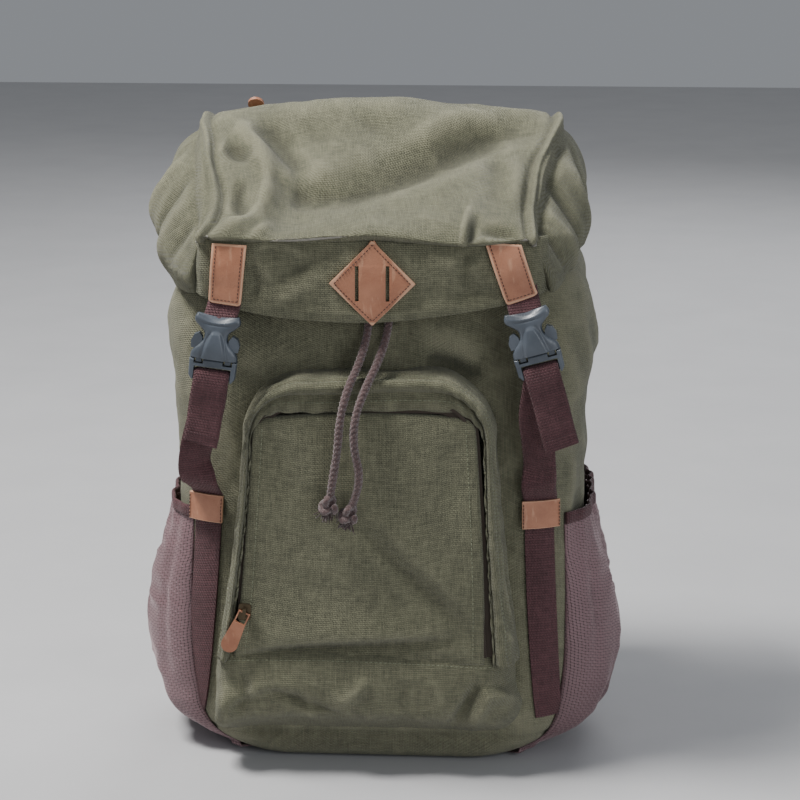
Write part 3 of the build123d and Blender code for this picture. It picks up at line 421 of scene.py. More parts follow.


# Plain weave: each thread is a rounded rib, and which set of threads is on top swaps from square to square.
# Threads differ a little in colour along their length, as spun cotton does, and the low places between them are
# painted darker as painted shade.
plain_weave, wires, given, result = group(
    "plain_weave",
    [("Cloth", "Vector", None), ("Warp", "Float", 0.0014), ("Weft", "Float", 0.0017), ("Slub", "Float", 1.0)],
    [("Height", "Float"), ("Shade", "Float")],
)
split = wires.tree.nodes.new("ShaderNodeSeparateXYZ")
wires.join(split.inputs[0], given["Cloth"])
warp, weft = (wires.math("DIVIDE", split.outputs[k], given[name]) for k, name in enumerate(("Warp", "Weft")))
warp_rib, weft_rib = (wires.math("ABSOLUTE", wires.math("SINE", wires.times(t, np.pi))) for t in (warp, weft))
warp_count, weft_count = wires.math("FLOOR", warp), wires.math("FLOOR", weft)
on_top = wires.math("MODULO", wires.math("ABSOLUTE", wires.plus(warp_count, weft_count)), 2.0)
raised = wires.times(warp_rib, on_top)
crossed = wires.times(weft_rib, wires.math("SUBTRACT", 1.25, on_top))
wires.join(result["Height"], wires.plus(raised, crossed))
weft_line = wires.add("CombineXYZ", {0: wires.times(split.outputs[0], 60.0), 1: weft_count})
warp_line = wires.add("CombineXYZ", {0: warp_count, 1: wires.times(split.outputs[1], 60.0)})
thread = wires.plus(wires.noise(weft_line, 1.7, 1.0), wires.noise(warp_line, 1.3, 1.0))
spun = wires.times(wires.math("SUBTRACT", thread, 1.0), given["Slub"])
# Painted shade: the colour is darker where the threads sink and lighter on their crests.
gap_shade = wires.times(wires.plus(raised, crossed), 0.55)
wires.join(result["Shade"], wires.plus(wires.plus(spun, gap_shade), 0.1))

# Wear and painted shade: rubbed paler where cloth or leather stands out, darker in its hollows, partly as dirt and
# partly as painted shade, with slow patches over it all.
wear_and_shade_group, wires, given, result = group(
    "wear_and_shade_group",
    [("Place", "Vector", None), ("Rub", "Float", 0.0), ("Size", "Float", 12.0), ("Strength", "Float", 1.0)],
    [("Pale", "Float"), ("DirtAndShade", "Float"), ("Patch", "Float")],
)
rough_rub_and_hollow = wires.times(given["Rub"], wires.span(wires.noise(given["Place"], 90.0, 4.0, 0.7), 0.3, 0.7, 0.5, 1.5))
wires.join(result["Pale"], wires.times(wires.span(rough_rub_and_hollow, 0.03, 0.25), given["Strength"]))
# Hollows get darker here: dirt, plus painted shade for the shade that falls in folds.
wires.join(result["DirtAndShade"], wires.times(wires.span(rough_rub_and_hollow, -0.03, -0.3), given["Strength"]))
wires.join(result["Patch"], wires.noise(given["Place"], given["Size"], 4.0, 0.62))


def woven(name, dark, light, pale, warp, weft, depth, rough, patch=0.5, slub=1.0, sheen=0.25):
    """Woven cloth: thread colour between dark and light by the weave, then patches, darker folds from dirt and
    painted shade, and pale rubs.
    """
    material, wires, shader = new_material(name, Sheen_Weight=sheen, Sheen_Roughness=0.55)
    shader["Specular IOR Level"].default_value = 0.25
    place = wires.place()
    weave = use(wires, plain_weave, Cloth=wires.add("UVMap", uv_map="cloth"), Warp=warp, Weft=weft, Slub=slub)
    wear_and_shade = use(wires, wear_and_shade_group, Place=place, Rub=wires.rub())
    shade = wires.plus(weave["Shade"], wires.span(wear_and_shade["Patch"], 0.25, 0.75, -patch / 2, patch / 2))
    colour = wires.mix(wires.span(shade, 0.0, 1.0), dark, light)
    colour = wires.mix(wires.times(wear_and_shade["Pale"], 0.4), colour, pale)
    # Darker in the folds: dirt, and painted shade where shade falls in them.
    colour = wires.mix(wires.times(wear_and_shade["DirtAndShade"], 0.55), colour, dim(dark, 0.45))
    wires.join(shader["Base Color"], colour)
    wires.join(shader["Roughness"], wires.span(wear_and_shade["Patch"], 0.2, 0.8, rough - 0.06, rough + 0.06))
    fuzz = wires.times(wires.noise(place, 1400.0, 2.0), 0.35)
    height = wires.plus(weave["Height"], fuzz)
    wires.bump(shader, 0.75, depth, height)
    return material


canvas = woven(
    "olive_canvas", (0.057, 0.058, 0.036, 1), (0.184, 0.181, 0.115, 1), (0.28, 0.27, 0.18, 1),
    0.0012, 0.0014, 0.0006, 0.88, 0.16, 0.8, 0.12,
)
lining = woven(
    "pale_lining", (0.20, 0.19, 0.16, 1), (0.32, 0.30, 0.26, 1), (0.40, 0.38, 0.33, 1),
    0.0009, 0.0009, 0.0003, 0.8, 0.3, 0.5,
)


def plan(count):
    """A box with round corners seen from above, as shares: where each point is along the straights, and the
    angle it faces. It starts at the middle of the back, goes left, and has equal steps round a usual box."""
    wide, deep, arc = plan_half - plan_radius, 2 * (plan_depth - plan_radius), plan_radius * np.pi / 2
    keys = np.cumsum([0, wide, arc, deep, arc, 2 * wide, arc, deep, arc, wide])
    at = np.linspace(0, keys[-1], count, endpoint=False)
    straight_x = np.interp(at, keys, [0, -1, -1, -1, -1, 1, 1, 1, 1, 0])
    straight_y = np.interp(at, keys, [1, 1, 1, -1, -1, -1, -1, 1, 1, 1])
    angle = np.interp(at, keys, np.radians([90, 90, 180, 180, 270, 270, 360, 360, 450, 450]))
    return straight_x, straight_y, np.cos(angle), np.sin(angle)


def bag_section(stations, count):
    """The bag's outline at each station (height, half width, front, back, radius)."""
    z, half, front, back, radius = stations.T[:, :, None]
    straight_x, straight_y, out_x, out_y = plan(count)
    deep, middle = (back - front) / 2, (back + front) / 2
    x = straight_x * (half - radius) + out_x * radius
    y = middle + straight_y * (deep - radius) + out_y * radius
    return np.stack([x, y, z + 0 * x], -1)


stations = np.array(bag_stations, float)
reach = lengths(stations[:, :3], 0)
spread_out = np.linspace(0, reach[-1], bag_rows)
bag = bag_section(through(reach, stations, spread_out), bag_columns)
x, y, z = bag[..., 0], bag[..., 1], bag[..., 2]
out = facings(bag, (0, 0, 200), True)
facing = np.clip(-out[..., 1], 0, 1) ** 2
gather = rise(z, 362, 26)
around = np.linspace(0, 2 * np.pi, bag_columns, endpoint=False)[None, :]
pleats = np.sin(around * 34 + 1.4 * np.sin(around * 7)) + 0.5 * np.sin(around * 51 + 2)
raised = facing * folds(
    x, z,
    ([(34, 306), (52, 300), (74, 294)], 9, -5.0, 6),
    ([(24, 322), (50, 316), (80, 314)], 12, 3.0),
    ([(8, 332), (-2, 312), (-6, 298)], 12, 2.6),
    ([(-98, 300), (-74, 306), (-40, 300)], 10, 2.2),
    ([(-110, 262), (-120, 290), (-112, 318)], 9, -2.6),
    ([(104, 300), (118, 270), (112, 240)], 10, -3.0),
    ([(128, 330), (134, 290), (126, 250)], 12, 2.6),
    ([(-128, 40), (-60, 30), (60, 30), (124, 42)], 7, 1.6),
)
flank = np.clip(np.abs(out[..., 0]), 0, 1) ** 2
raised += flank * folds(
    y, z,
    ([(-50, 330), (-10, 300), (40, 312)], 12, 3.4, 8),
    ([(-60, 288), (-16, 262), (50, 268)], 13, -3.0),
    ([(-30, 350), (10, 336), (60, 350)], 10, -2.6),
    ([(-40, 240), (10, 222), (60, 236)], 14, 2.4),
)
raised += 3.0 * facing * np.cos(np.clip(x / 150, -1, 1) * np.pi / 2) * rise(z, 20, 80) * (1 - gather)
raised += crumple(x + y * 1.3, z, 3, 62, 0.9) * (1 - gather) * rise(z, 6, 30)
raised += crumple(x - y * 1.1, z * 1.4, 4, 26, 0.25) * rise(z, 6, 30)
for strap_x, way_out in ((-121, -1), (117, 1)):
    under_strap = np.exp(-(((x - strap_x - way_out * (200 - z) * 0.05) / 17) ** 4)) * fall(z, 218, 12)
    raised *= 1 - np.where(out[..., 1] < 0.1, under_strap, 0)
base_seam = bell(z - 21.5 - 2.2 * np.cos(x / 60), 2.2)
raised -= 1.3 * base_seam * (1 - gather)
raised += gather * pleats * 1.5 * np.clip((z - 370) / 16, 0.15, 1)
back_face = np.clip(out[..., 1], 0, 1)
raised -= back_face**3 * np.clip(raised, 0, None)
raised = np.where(raised < 0, 1.25, 1.15) * raised
bag_level = z[:, 0].copy()
bag = bag + out * raised[..., None]
bag_out = out
bag[..., 2] = np.maximum(bag[..., 2], 0.6)
bag_shell = grid_piece(
    "bag_shell", bag, canvas, "bag", (0, 0, 200), around=True, wall=canvas_wall, inner=lining,
    ends=("first",),
)
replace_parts(bag_shell, "front_panel", "back_panel", "side_panel_left", "side_panel_right", "base_panel", "collar")

# ---- front pocket: gusset, rolled edge and zip flap ----
# One canvas strip goes up one side of the pocket, over its top and down the other. It is turned over a cord
# at the front edge, which makes the pale roll, and a narrow flap inside the roll covers the zip.
pocket_rings = [
    # left foot, left shoulder, right shoulder, right foot, top, corner radius, front
    (-115.5, -95, 86, 103.0, 297.0, 47, -83.0),
    (-115.0, -94, 85, 102.5, 296.0, 46, -89.5),
    (-114.0, -93, 84, 101.0, 295.0, 45, -98.0),
    (-113.0, -92, 83, 99.0, 293.6, 44, -107.0),
    (-111.5, -91, 82, 96.0, 292.0, 42, -112.8),
    (-109.8, -90, 80.6, 93.0, 289.6, 40, -115.4),
    (-108.2, -89, 79.4, 90.0, 286.8, 38, -115.8),
    (-107.0, -88.2, 78.2, 87.6, 284.2, 35, -114.4),
    (-106.4, -87.8, 77.6, 86.4, 282.6, 33, -111.8),
    (-106.2, -87.5, 77.2, 85.8, 281.2, 31, -110.8),
    (-106.0, -87.3, 77.0, 85.4, 276.0, 28, -112.2),
    (-105.8, -87.1, 76.8, 85.0, 271.0, 25, -112.0),
    (-105.6, -87.0, 76.6, 84.8, 268.4, 23, -110.2),
    (-105.4, -86.8, 76.4, 84.6, 268.0, 22, -106.0),
]
pocket_foot, arch_crown = 86.0, 3.0
leg_share, corner_share = 0.305, 0.11


def arch(ring, count):
    """Up the left leg, round a corner, over the crowned top and down the right leg; the legs flare to the foot."""
    left_foot, left_high, right_high, right_foot, top, radius, front = ring
    t = np.linspace(0, 1, count)
    halves = []
    for share, foot_x, high_x, way in ((t, left_foot, left_high, 1), (1 - t, right_foot, right_high, -1)):
        leg = np.clip(share / leg_share, 0, 1)
        turn = rise(share, leg_share, corner_share) * np.pi / 2
        x = high_x + (foot_x - high_x) * (1 - leg) ** 1.35 + way * radius * (1 - np.cos(turn))
        z = pocket_foot + (top - radius - pocket_foot) * leg + radius * np.sin(turn)
        halves.append((x, z))
    over = rise(t - leg_share, corner_share, 1 - 2 * (leg_share + corner_share))
    (left_x, left_z), (right_x, right_z) = halves
    x = np.where(over <= 0, left_x, np.where(over >= 1, right_x, left_x + (right_x - left_x) * over))
    z = np.where(over < 0.5, left_z, right_z)
    z = z + arch_crown * np.sin(np.pi * rise(t, leg_share, 1 - 2 * leg_share)) ** 1.5
    return np.stack([x, np.full(count, float(front)), z], -1)


gusset_rows, pocket_columns = 72, 230
rings = np.array([arch(ring, pocket_columns) for ring in pocket_rings])
ring_at = np.linspace(0, len(rings) - 1, gusset_rows)
gusset = through(np.arange(len(rings)), rings.reshape(len(rings), -1), ring_at).reshape(-1, pocket_columns, 3)
out = facings(gusset, (0, -90, 170))
x, y, z = gusset[..., 0], gusset[..., 1], gusset[..., 2]
along = np.linspace(0, 1, pocket_columns)[None, :]
at_ring = ring_at[:, None]
on_side = rise(at_ring, 0.4, 1.2) * fall(at_ring, 4.6, 1.2)
on_roll = rise(at_ring, 4, 1.0) * fall(at_ring, 8.4, 1.0)
raised = on_side * crumple(z * 1.2 + x, y * 2, 12, 42, 1.6)
raised += on_side * 0.9 * np.sin(along * 96 + 2 * np.sin(along * 31)) * np.clip(0.3 + at_ring / 5, 0, 1) * 0.5
raised += on_roll * 0.45 * np.sin(along * 210 + 3 * np.sin(along * 40)) * (0.6 + 0.4 * np.sin(along * 23))
raised += on_roll * 0.5 * np.sin(along * 31 + 1)
raised -= 0.9 * bell(at_ring - 3.9, 0.28)
raised += rise(at_ring, 9, 0.6) * 0.5 * np.sin(along * 170 + 2 * np.sin(along * 29))
gusset = gusset + out * raised[..., None]
gusset[..., 2] += 1.6 * np.sin(x / 26) * rise(z, 230, 50)
pocket_gusset = grid_piece("pocket_gusset_cloth", gusset, canvas, "bag", (-10, -84, 170), wall=1.0)
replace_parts(pocket_gusset, "pocket_gusset", "pocket_rim")

# ---- front pocket: face ----
# A flat canvas panel stitched to the zip all round. It bellies over whatever is inside, and hangs over the
# seam above the skirt in one long low fold.
face_rows, face_columns = 150, 150
face_foot = 87.0
face_heights = [82, 120, 162, 215, 262]
face_left, face_right = [-103.6, -98.2, -94.0, -89.6, -86.0], [79.0, 78.6, 77.4, 74.4, 71.4]
across, up = np.meshgrid(np.linspace(-1, 1, face_columns), np.linspace(0, 1, face_rows))
guess = face_foot + 180 * up
left, right = (through(face_heights, edge, guess)[..., 0] for edge in (face_left, face_right))
x = (left + right) / 2 + (right - left) / 2 * across
face_top = 271.0 - 5.0 * ((x - 3) / 82) ** 2
corner = rise(np.abs(across), 0.87, 0.13) ** 2.2
z = face_foot + (face_top - face_foot - 7 * corner * up**8) * up
turned_side = rise(np.abs(across), 0.968, 0.032)
turned_top = rise(up, 0.968, 0.032)
turned_edge = np.clip(np.hypot(turned_side, turned_top), 0, 1)
belly = 3.4 * np.cos(across * np.pi / 2) ** 0.8 * np.sin(np.pi * np.clip(up * 0.92 + 0.06, 0, 1)) ** 0.8
y = -112.4 - belly + 6.0 * (1 - np.sqrt(1 - turned_edge**2))
quiet = (1 - turned_edge) * fall(np.abs(across), 1, 0.05) ** 0.5
raised = folds(
    x, z,
    ([(-101, 94), (-62, 102), (-12, 107), (30, 110), (60, 112)], 15, 4.2, 4.2),
    ([(-100, 90), (-50, 96), (0, 99), (44, 103)], 4.5, -3.2, 6),
    ([(-18, 196), (2, 174), (36, 140), (62, 112)], 8, -3.0, 6),
    ([(-2, 200), (20, 176), (50, 146), (74, 122)], 9, 2.6),
    ([(-70, 132), (-40, 122), (-8, 126)], 16, 1.6),
    ([(20, 96), (50, 98), (74, 92)], 7, 1.6),
    ([(-84, 250), (-66, 236), (-60, 205)], 11, -1.8),
    ([(-72, 256), (-46, 240), (-40, 215)], 12, 1.2),
    ([(66, 252), (54, 232), (58, 200)], 10, -1.5),
    ([(-90, 180), (-84, 150), (-92, 120)], 8, -1.4),
    ([(68, 190), (70, 160), (64, 140)], 8, 1.2),
)
raised += crumple(x, z, 21, 80, 0.45) + crumple(x * 1.2, z, 22, 24, 0.12)
y = y - 1.35 * raised * quiet
face = np.stack([x, y, z], -1)
pocket_face = grid_piece("pocket_face_cloth", face, canvas, "bag", (-10, -80, 170), wall=1.2)
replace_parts(pocket_face, "pocket_face")

# ---- front pocket: skirt ----
# The bottom of the pocket is a separate band below the seam. It has no boning, so it slumps: its front turns
# under, its left corner pokes out, and the spare cloth of its right corner is folded over itself.
skirt_net = [
    [(-115, -83, 94), (-113, -97, 94), (-106, -106, 94), (-80, -109, 94), (-20, -110, 94), (45, -109, 94),
     (77, -108, 93), (88, -101, 93), (101, -83, 93)],
    [(-115.6, -84, 86), (-114, -98, 85), (-106, -110.5, 85), (-80, -114, 87), (-20, -115.5, 88), (45, -115, 86),
     (77.5, -112.5, 84), (89, -103, 84), (101.6, -84, 84)],
    [(-116.4, -84, 70), (-115.4, -98, 69), (-107, -111.5, 69), (-80, -115.6, 72), (-20, -117.6, 73), (45, -117, 71),
     (77, -113, 70), (90, -104, 69), (102.4, -84, 69)],
    [(-117.2, -84, 54), (-117, -98, 52), (-110, -113, 52), (-80, -115.2, 60), (-20, -117.4, 60), (45, -116.6, 57),
     (72, -112.6, 55), (91, -105, 54), (104, -84, 54)],
    [(-117.6, -84, 42), (-118, -97, 38), (-112.6, -110, 38), (-82, -112, 46), (-20, -114.6, 48), (42, -113.6, 46),
     (70, -109, 42), (93, -103, 42), (105, -84, 42)],
    [(-116.6, -84, 34), (-116, -93, 31), (-109, -101, 31), (-80, -102, 38), (-20, -103, 39), (42, -102, 37),
     (70, -100, 34), (90, -96, 34), (103, -84, 35)],
    [(-114, -83, 27), (-112, -86, 25), (-104, -88, 25), (-80, -87, 27), (-20, -87.4, 27), (42, -87, 27),
     (70, -87, 26), (86, -86, 27), (100, -83, 29)],
]
skirt_rows, skirt_columns = 90, 230


def net(stations, rows, columns):
    """A smooth surface through a coarse net of points: a cubic down each column of it, then along each row."""
    stations = np.array(stations, float)
    a, b = stations.shape[:2]
    down = through(np.arange(a), stations.reshape(a, -1), np.linspace(0, a - 1, rows)).reshape(rows, b, 3)
    flipped = down.transpose(1, 0, 2).reshape(b, -1)
    return through(np.arange(b), flipped, np.linspace(0, b - 1, columns)).reshape(columns, rows, 3).transpose(1, 0, 2)


skirt = net(skirt_net, skirt_rows, skirt_columns)
out = facings(skirt, (0, -84, 60))
x, z = skirt[..., 0], skirt[..., 2]
quiet = np.sin(np.pi * np.linspace(0, 1, skirt_rows))[:, None] ** 0.35
raised = folds(
    x, z,
    ([(-74, 66), (-58, 58), (-40, 50), (-22, 46)], 6, -4.0, 4),
    ([(-112, 50), (-96, 60), (-76, 70), (-56, 66)], 7, 3.0, 4),
    ([(-4, 76), (-20, 62), (-36, 50)], 6, 2.6),
    ([(74, 74), (66, 56), (54, 36)], 5, -5.5),
    ([(80, 70), (76, 54), (68, 40)], 5, 3.6),
    ([(76, 66), (92, 60), (106, 46)], 4, 3.4, 6),
    ([(24, 76), (20, 60), (30, 46)], 8, -2.2),
    ([(44, 78), (48, 60), (40, 46)], 7, 1.8),
    ([(-104, 66), (-110, 52), (-106, 40)], 5, 2.4),
    ([(-96, 78), (-94, 62), (-100, 48)], 5, -2.6),
)
raised += crumple(x, z, 31, 40, 0.7)
skirt = skirt + out * (1.3 * raised * quiet)[..., None]
pocket_skirt = grid_piece("pocket_skirt_cloth", skirt, canvas, "bag", (0, -84, 60), wall=1.0)
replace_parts(pocket_skirt, "pocket_skirt")

# ---- pocket stitching ----
# Olive thread, a shade paler than the canvas: a row inside the roll, one round the face, and one on the seam.
stitch_pitch, stitch_length, stitch_radius = 3.4, 2.5, 0.33
look_ahead = 0.8


def read_line(at, far, line):
    """Points of a line at distances along it, straight between its own points, which are far along it."""
    return np.stack([np.interp(at, far, line[:, k]) for k in range(3)], -1)


def spindle_faces(start, rings, columns):
    """Faces of a closed tube whose points begin at a number: its walls ring by ring, then both ends."""
    last = start + (rings - 1) * columns
    walls = [
        (r + q, r + (q + 1) % columns, r + columns + (q + 1) % columns, r + columns + q)
        for r in range(start, last, columns)
        for q in range(columns)
    ]
    return [*walls, tuple(range(start + columns - 1, start - 1, -1)), tuple(range(last, last + columns))]


def flat_row(line, way=(0.0, -1.0, 0.0)):
    """A row of stitches on a piece that faces one way all along it."""
    return line, np.tile(way, (len(line), 1))


def stitches(name, lines, material, body, pitch=stitch_pitch, length=stitch_length, radius=stitch_radius):
    """Short threads laid along lines: each is a six-sided spindle, sunk at both ends, on the line's own direction.
    A line is a pair of arrays, its points and the way its cloth faces there."""
    ring_angle = np.arange(6) * np.pi / 3
    share = np.array([-1.0, -0.6, 0.6, 1.0])
    swell = np.array([0.35, 1.0, 1.0, 0.35])
    points, faces = [], []
    for line, facing_way in lines:
        far = lengths(line, 0)
        centres = np.arange(pitch / 2, far[-1], pitch)
        middle, facing_at = read_line(centres, far, line), read_line(centres, far, facing_way)
        ahead = read_line(np.minimum(centres + look_ahead, far[-1]), far, line)
        way = unit(ahead - read_line(np.maximum(centres - look_ahead, 0), far, line))
        side_way = unit(np.cross(way, facing_at))
        top_way = np.cross(side_way, way)
        sunk = (swell * radius * 0.9 - radius * 0.5)[:, None]
        body_of = (
            middle[:, None, None]
            + way[:, None, None] * (share * length / 2)[None, :, None, None]
            + side_way[:, None, None] * (np.cos(ring_angle)[None] * swell[:, None] * radius)[None, ..., None]
            + top_way[:, None, None] * (np.sin(ring_angle)[None] * swell[:, None] * radius + sunk)[None, ..., None]
        )
        start = sum(len(part) for part in points)
        points.append(body_of.reshape(-1, 3))
        for k in range(len(centres)):
            faces += spindle_faces(start + k * len(share) * 6, len(share), 6)
    return make_mesh(name, np.concatenate(points), faces, material, body)


def thread_material(name, colour):
    """Twisted thread: its own colour with a fine dark and light fleck."""
    material, wires, shader = new_material(name, Roughness=0.7)
    fleck = wires.noise(wires.place(), 900.0, 2.0)
    wires.join(shader["Base Color"], wires.mix(wires.span(fleck, 0.35, 0.65), dim(colour, 0.6), colour))
    return material


def on_grid(points, facing_ways, rows, columns):
    """Points and facings read from a grid at fractional rows and columns, halfway values by straight mixing."""
    rows, columns = np.broadcast_arrays(np.asarray(rows, float), np.asarray(columns, float))
    r = np.clip(rows.astype(int), 0, points.shape[0] - 2)
    c = np.clip(columns.astype(int), 0, points.shape[1] - 2)
    dr, dc = (rows - r)[:, None], (columns - c)[:, None]

    def read(grid):
        low = grid[r, c] * (1 - dc) + grid[r, c + 1] * dc
        high = grid[r + 1, c] * (1 - dc) + grid[r + 1, c + 1] * dc
        return low * (1 - dr) + high * dr

    return read(points), read(facing_ways)


canvas_thread = thread_material("olive_thread", (0.22, 0.23, 0.15, 1))
face_way = facings(face, (-10, -80, 170))
skirt_way = facings(skirt, (0, -84, 60))
gusset_way = facings(gusset, (-10, -84, 170))
# Rows are counted in rings of the gusset, or in points in from an edge of the face and the skirt.
span = np.linspace(0, 1, 240)
row_of_ring = (gusset_rows - 1) / (len(rings) - 1)
pocket_lines = [
    on_grid(gusset, gusset_way, 4.25 * row_of_ring, 3 + span * (pocket_columns - 7)),
    on_grid(gusset, gusset_way, 3.3 * row_of_ring, 3 + span * (pocket_columns - 7)),
    on_grid(gusset, gusset_way, 9.9 * row_of_ring, 88 + span * 54),
    on_grid(face, face_way, 3 + span * (face_rows - 11), 7.5),
    on_grid(face, face_way, 3 + span * (face_rows - 11), face_columns - 8.5),
    on_grid(skirt, skirt_way, 14.0, 6 + span * (skirt_columns - 12)),
]
stitches("pocket_stitches", pocket_lines, canvas_thread, "bag")

# ---- mesh side pockets ----
# Wine-coloured stretch netting, cut wider at its foot and pleated into the base seam, so it balloons out.
# A folded elastic band gathers its top edge against the bag.
mesh_heights = [1.5, 6, 22, 50, 80, 115, 150, 176, 186]
mesh_swell = {
    -1: [1.5, 6, 20, 25, 26, 24, 16, 8.5, 5.0],
    1: [1.5, 7, 21, 26.5, 26, 22, 14, 8, 5.0],
}
mesh_rows, mesh_columns = 120, 130
mesh_foot, mesh_top, mesh_width = 1.5, 186, 150
band_low, band_high = 181.0, 190.0


def netting(name, dark, light, pitch, depth):
    """Warp-knit netting: rows of small staggered holes between shiny threads, painted as near-black dots, which are
    painted shade for the dark inside seen through them.
    """
    material, wires, shader = new_material(
        name, Sheen_Weight=0.35, Sheen_Roughness=0.35, Sheen_Tint=(1.0, 0.78, 0.80, 1)
    )
    cloth = wires.add("UVMap", uv_map="cloth")
    weave = use(wires, plain_weave, Cloth=cloth, Warp=pitch, Weft=pitch * 0.8, Slub=0.7)
    wear_and_shade = use(wires, wear_and_shade_group, Place=wires.place(), Rub=wires.rub(), Size=9.0)
    hole = wires.span(weave["Height"], 0.30, 0.62)
    knit = wires.mix(wires.span(wear_and_shade["Patch"], 0.3, 0.7), light, dim(light, 0.72))
    # The holes are painted in the dark colour: painted shade of what lies behind the netting.
    colour = wires.mix(hole, dark, knit)
    # Darker in the hollows: dirt and painted shade.
    colour = wires.mix(wires.times(wear_and_shade["DirtAndShade"], 0.6), colour, dark)
    wires.join(shader["Base Color"], colour)
    wires.join(shader["Roughness"], wires.span(hole, 0.0, 1.0, 0.85, 0.48))
    wires.bump(shader, 0.8, depth, hole)
    return material


wine_mesh = netting("wine_netting", (0.014, 0.006, 0.007, 1), (0.225, 0.130, 0.142, 1), 0.0028, 0.0009)


def webbing_cloth(name, dark, light, pale, sheen=0.08):
    """Webbing: thick ribs straight across with fine cords along."""
    return woven(name, dark, light, pale, 0.0011, 0.0019, 0.0006, 0.62, 0.35, 0.8, sheen)


wine_webbing = webbing_cloth(
    "wine_webbing", (0.034, 0.011, 0.013, 1), (0.108, 0.043, 0.049, 1), (0.19, 0.095, 0.10, 1)
)

clean_columns = 528
corner_columns = {-1: (178, 84), 1: (350, 444)}
bag_clean = bag_section(through(stations[:14, 0], stations[:14], np.linspace(1.6, 300, 200)), clean_columns)


def bag_corner(side, heights, shares):
    """Points on the bag's plain outline at heights, and their outward way, from share 0 at the outer edge of the
    front webbing round the side to share 1 near the back corner."""
    _, _, out_x, out_y = plan(clean_columns)
    row = np.interp(heights, bag_clean[:, 0, 2], np.arange(len(bag_clean)))
    low = row.astype(int).clip(0, len(bag_clean) - 2)
    blend_up = (row - low)[:, None, None]
    section = bag_clean[low] * (1 - blend_up) + bag_clean[low + 1] * blend_up
    start, end = corner_columns[side]
    column = start + (end - start) * shares
    left = np.floor(column).astype(int).clip(0, clean_columns - 2)
    part = (column - left)[None, :, None]
    on_outline = section[:, left] * (1 - part) + section[:, left + 1] * part
    way = np.stack([out_x, out_y, 0 * out_x], -1)
    way = way[left] * (1 - part[0]) + way[left + 1] * part[0]
    return on_outline, way[None] + 0 * on_outline


mesh_shares = np.linspace(0, 1, mesh_columns)
mesh_levels = np.linspace(mesh_foot, mesh_top, mesh_rows)
for side, name in both_sides:
    outline, way = bag_corner(side, mesh_levels, mesh_shares)
    swell = through(mesh_heights, mesh_swell[side], mesh_levels)
    across = mesh_shares[None, :] + 0 * mesh_levels[:, None]
    round_out = np.sin(np.pi * np.clip(across, 0, 1)) ** 0.62
    up = (mesh_levels[:, None] / mesh_top) + 0 * across
    top_gather = rise(up, 0.62, 0.38) ** 1.3
    foot_gather = fall(up, 0.22, 0.22)
    pleat = np.sin(across * 44 + 2.2 * np.sin(across * 9 + side)) + 0.5 * np.sin(across * 71 + side)
    deep = 0.7 + round_out * swell
    deep = deep + round_out * (2.0 * top_gather + 2.0 * foot_gather) * pleat
    height = mesh_levels[:, None] + 0 * across
    drawn = folds(
        across * mesh_width, height,
        ([(28, 172), (40, 130), (36, 86)], 6, 3.2, 9),
        ([(16, 165), (20, 120), (18, 60)], 4.5, -3.4),
        ([(52, 176), (62, 140), (78, 112)], 7, -3.2, 5),
        ([(60, 110), (46, 86), (44, 52)], 12, 3.4),
        ([(30, 10), (42, 34), (60, 58)], 7, -3.6, 5),
        ([(64, 4), (70, 26), (92, 46)], 6, -2.8),
        ([(96, 170), (92, 120), (104, 70)], 8, -2.6),
        ([(110, 8), (112, 40), (126, 70)], 8, -2.4),
        ([(12, 20), (26, 44), (28, 76)], 5, 2.2),
    )
    deep = deep + 1.35 * drawn * round_out * np.clip(swell / 20, 0.2, 1)
    deep = deep + crumple(across * mesh_width + side, height, 41 + side, 30, 1.0) * round_out
    mesh_shape = outline + way * np.maximum(deep, 0.6)[..., None]
    sag = np.clip(1 - height / 40, 0, 1) * round_out
    mesh_shape[..., 2] = np.maximum(mesh_shape[..., 2] + 2.0 * sag * (1 - sag), 1.0)
    net_piece = grid_piece(f"mesh_cloth_{name}", mesh_shape, wine_mesh, "bag", (0, 0, 90), wall=0.9)
    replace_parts(net_piece, f"mesh_pocket_{name}")
    band_levels = np.linspace(0, 2 * np.pi, 22, endpoint=False)
    band_outline, band_way = bag_corner(side, np.array([(band_low + band_high) / 2]), mesh_shares)
    gathered = through(mesh_heights, mesh_swell[side], np.array([185.0]))
    top_swell = (0.7 + round_out * gathered + 1.2 * round_out * pleat)[-2:-1]
    band_rise = np.sign(np.sin(band_levels)) * np.abs(np.sin(band_levels)) ** 0.6 * 4.6
    band = (
        band_outline
        + band_way * (top_swell + 0.9)[..., None]
        + band_way * (1.5 * np.cos(band_levels))[:, None, None]
        + np.array([0, 0, 1.0]) * band_rise[:, None, None]
    )
    band = band.transpose(1, 0, 2)
    inside = band.reshape(-1, 3).mean(0) - 40 * side * np.array([1, 0, 0])
    elastic = closed_piece(f"mesh_band_{name}", band, wine_webbing, "bag", inside, 0.3)
    if side < 0:
        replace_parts(elastic, "mesh_bindings")

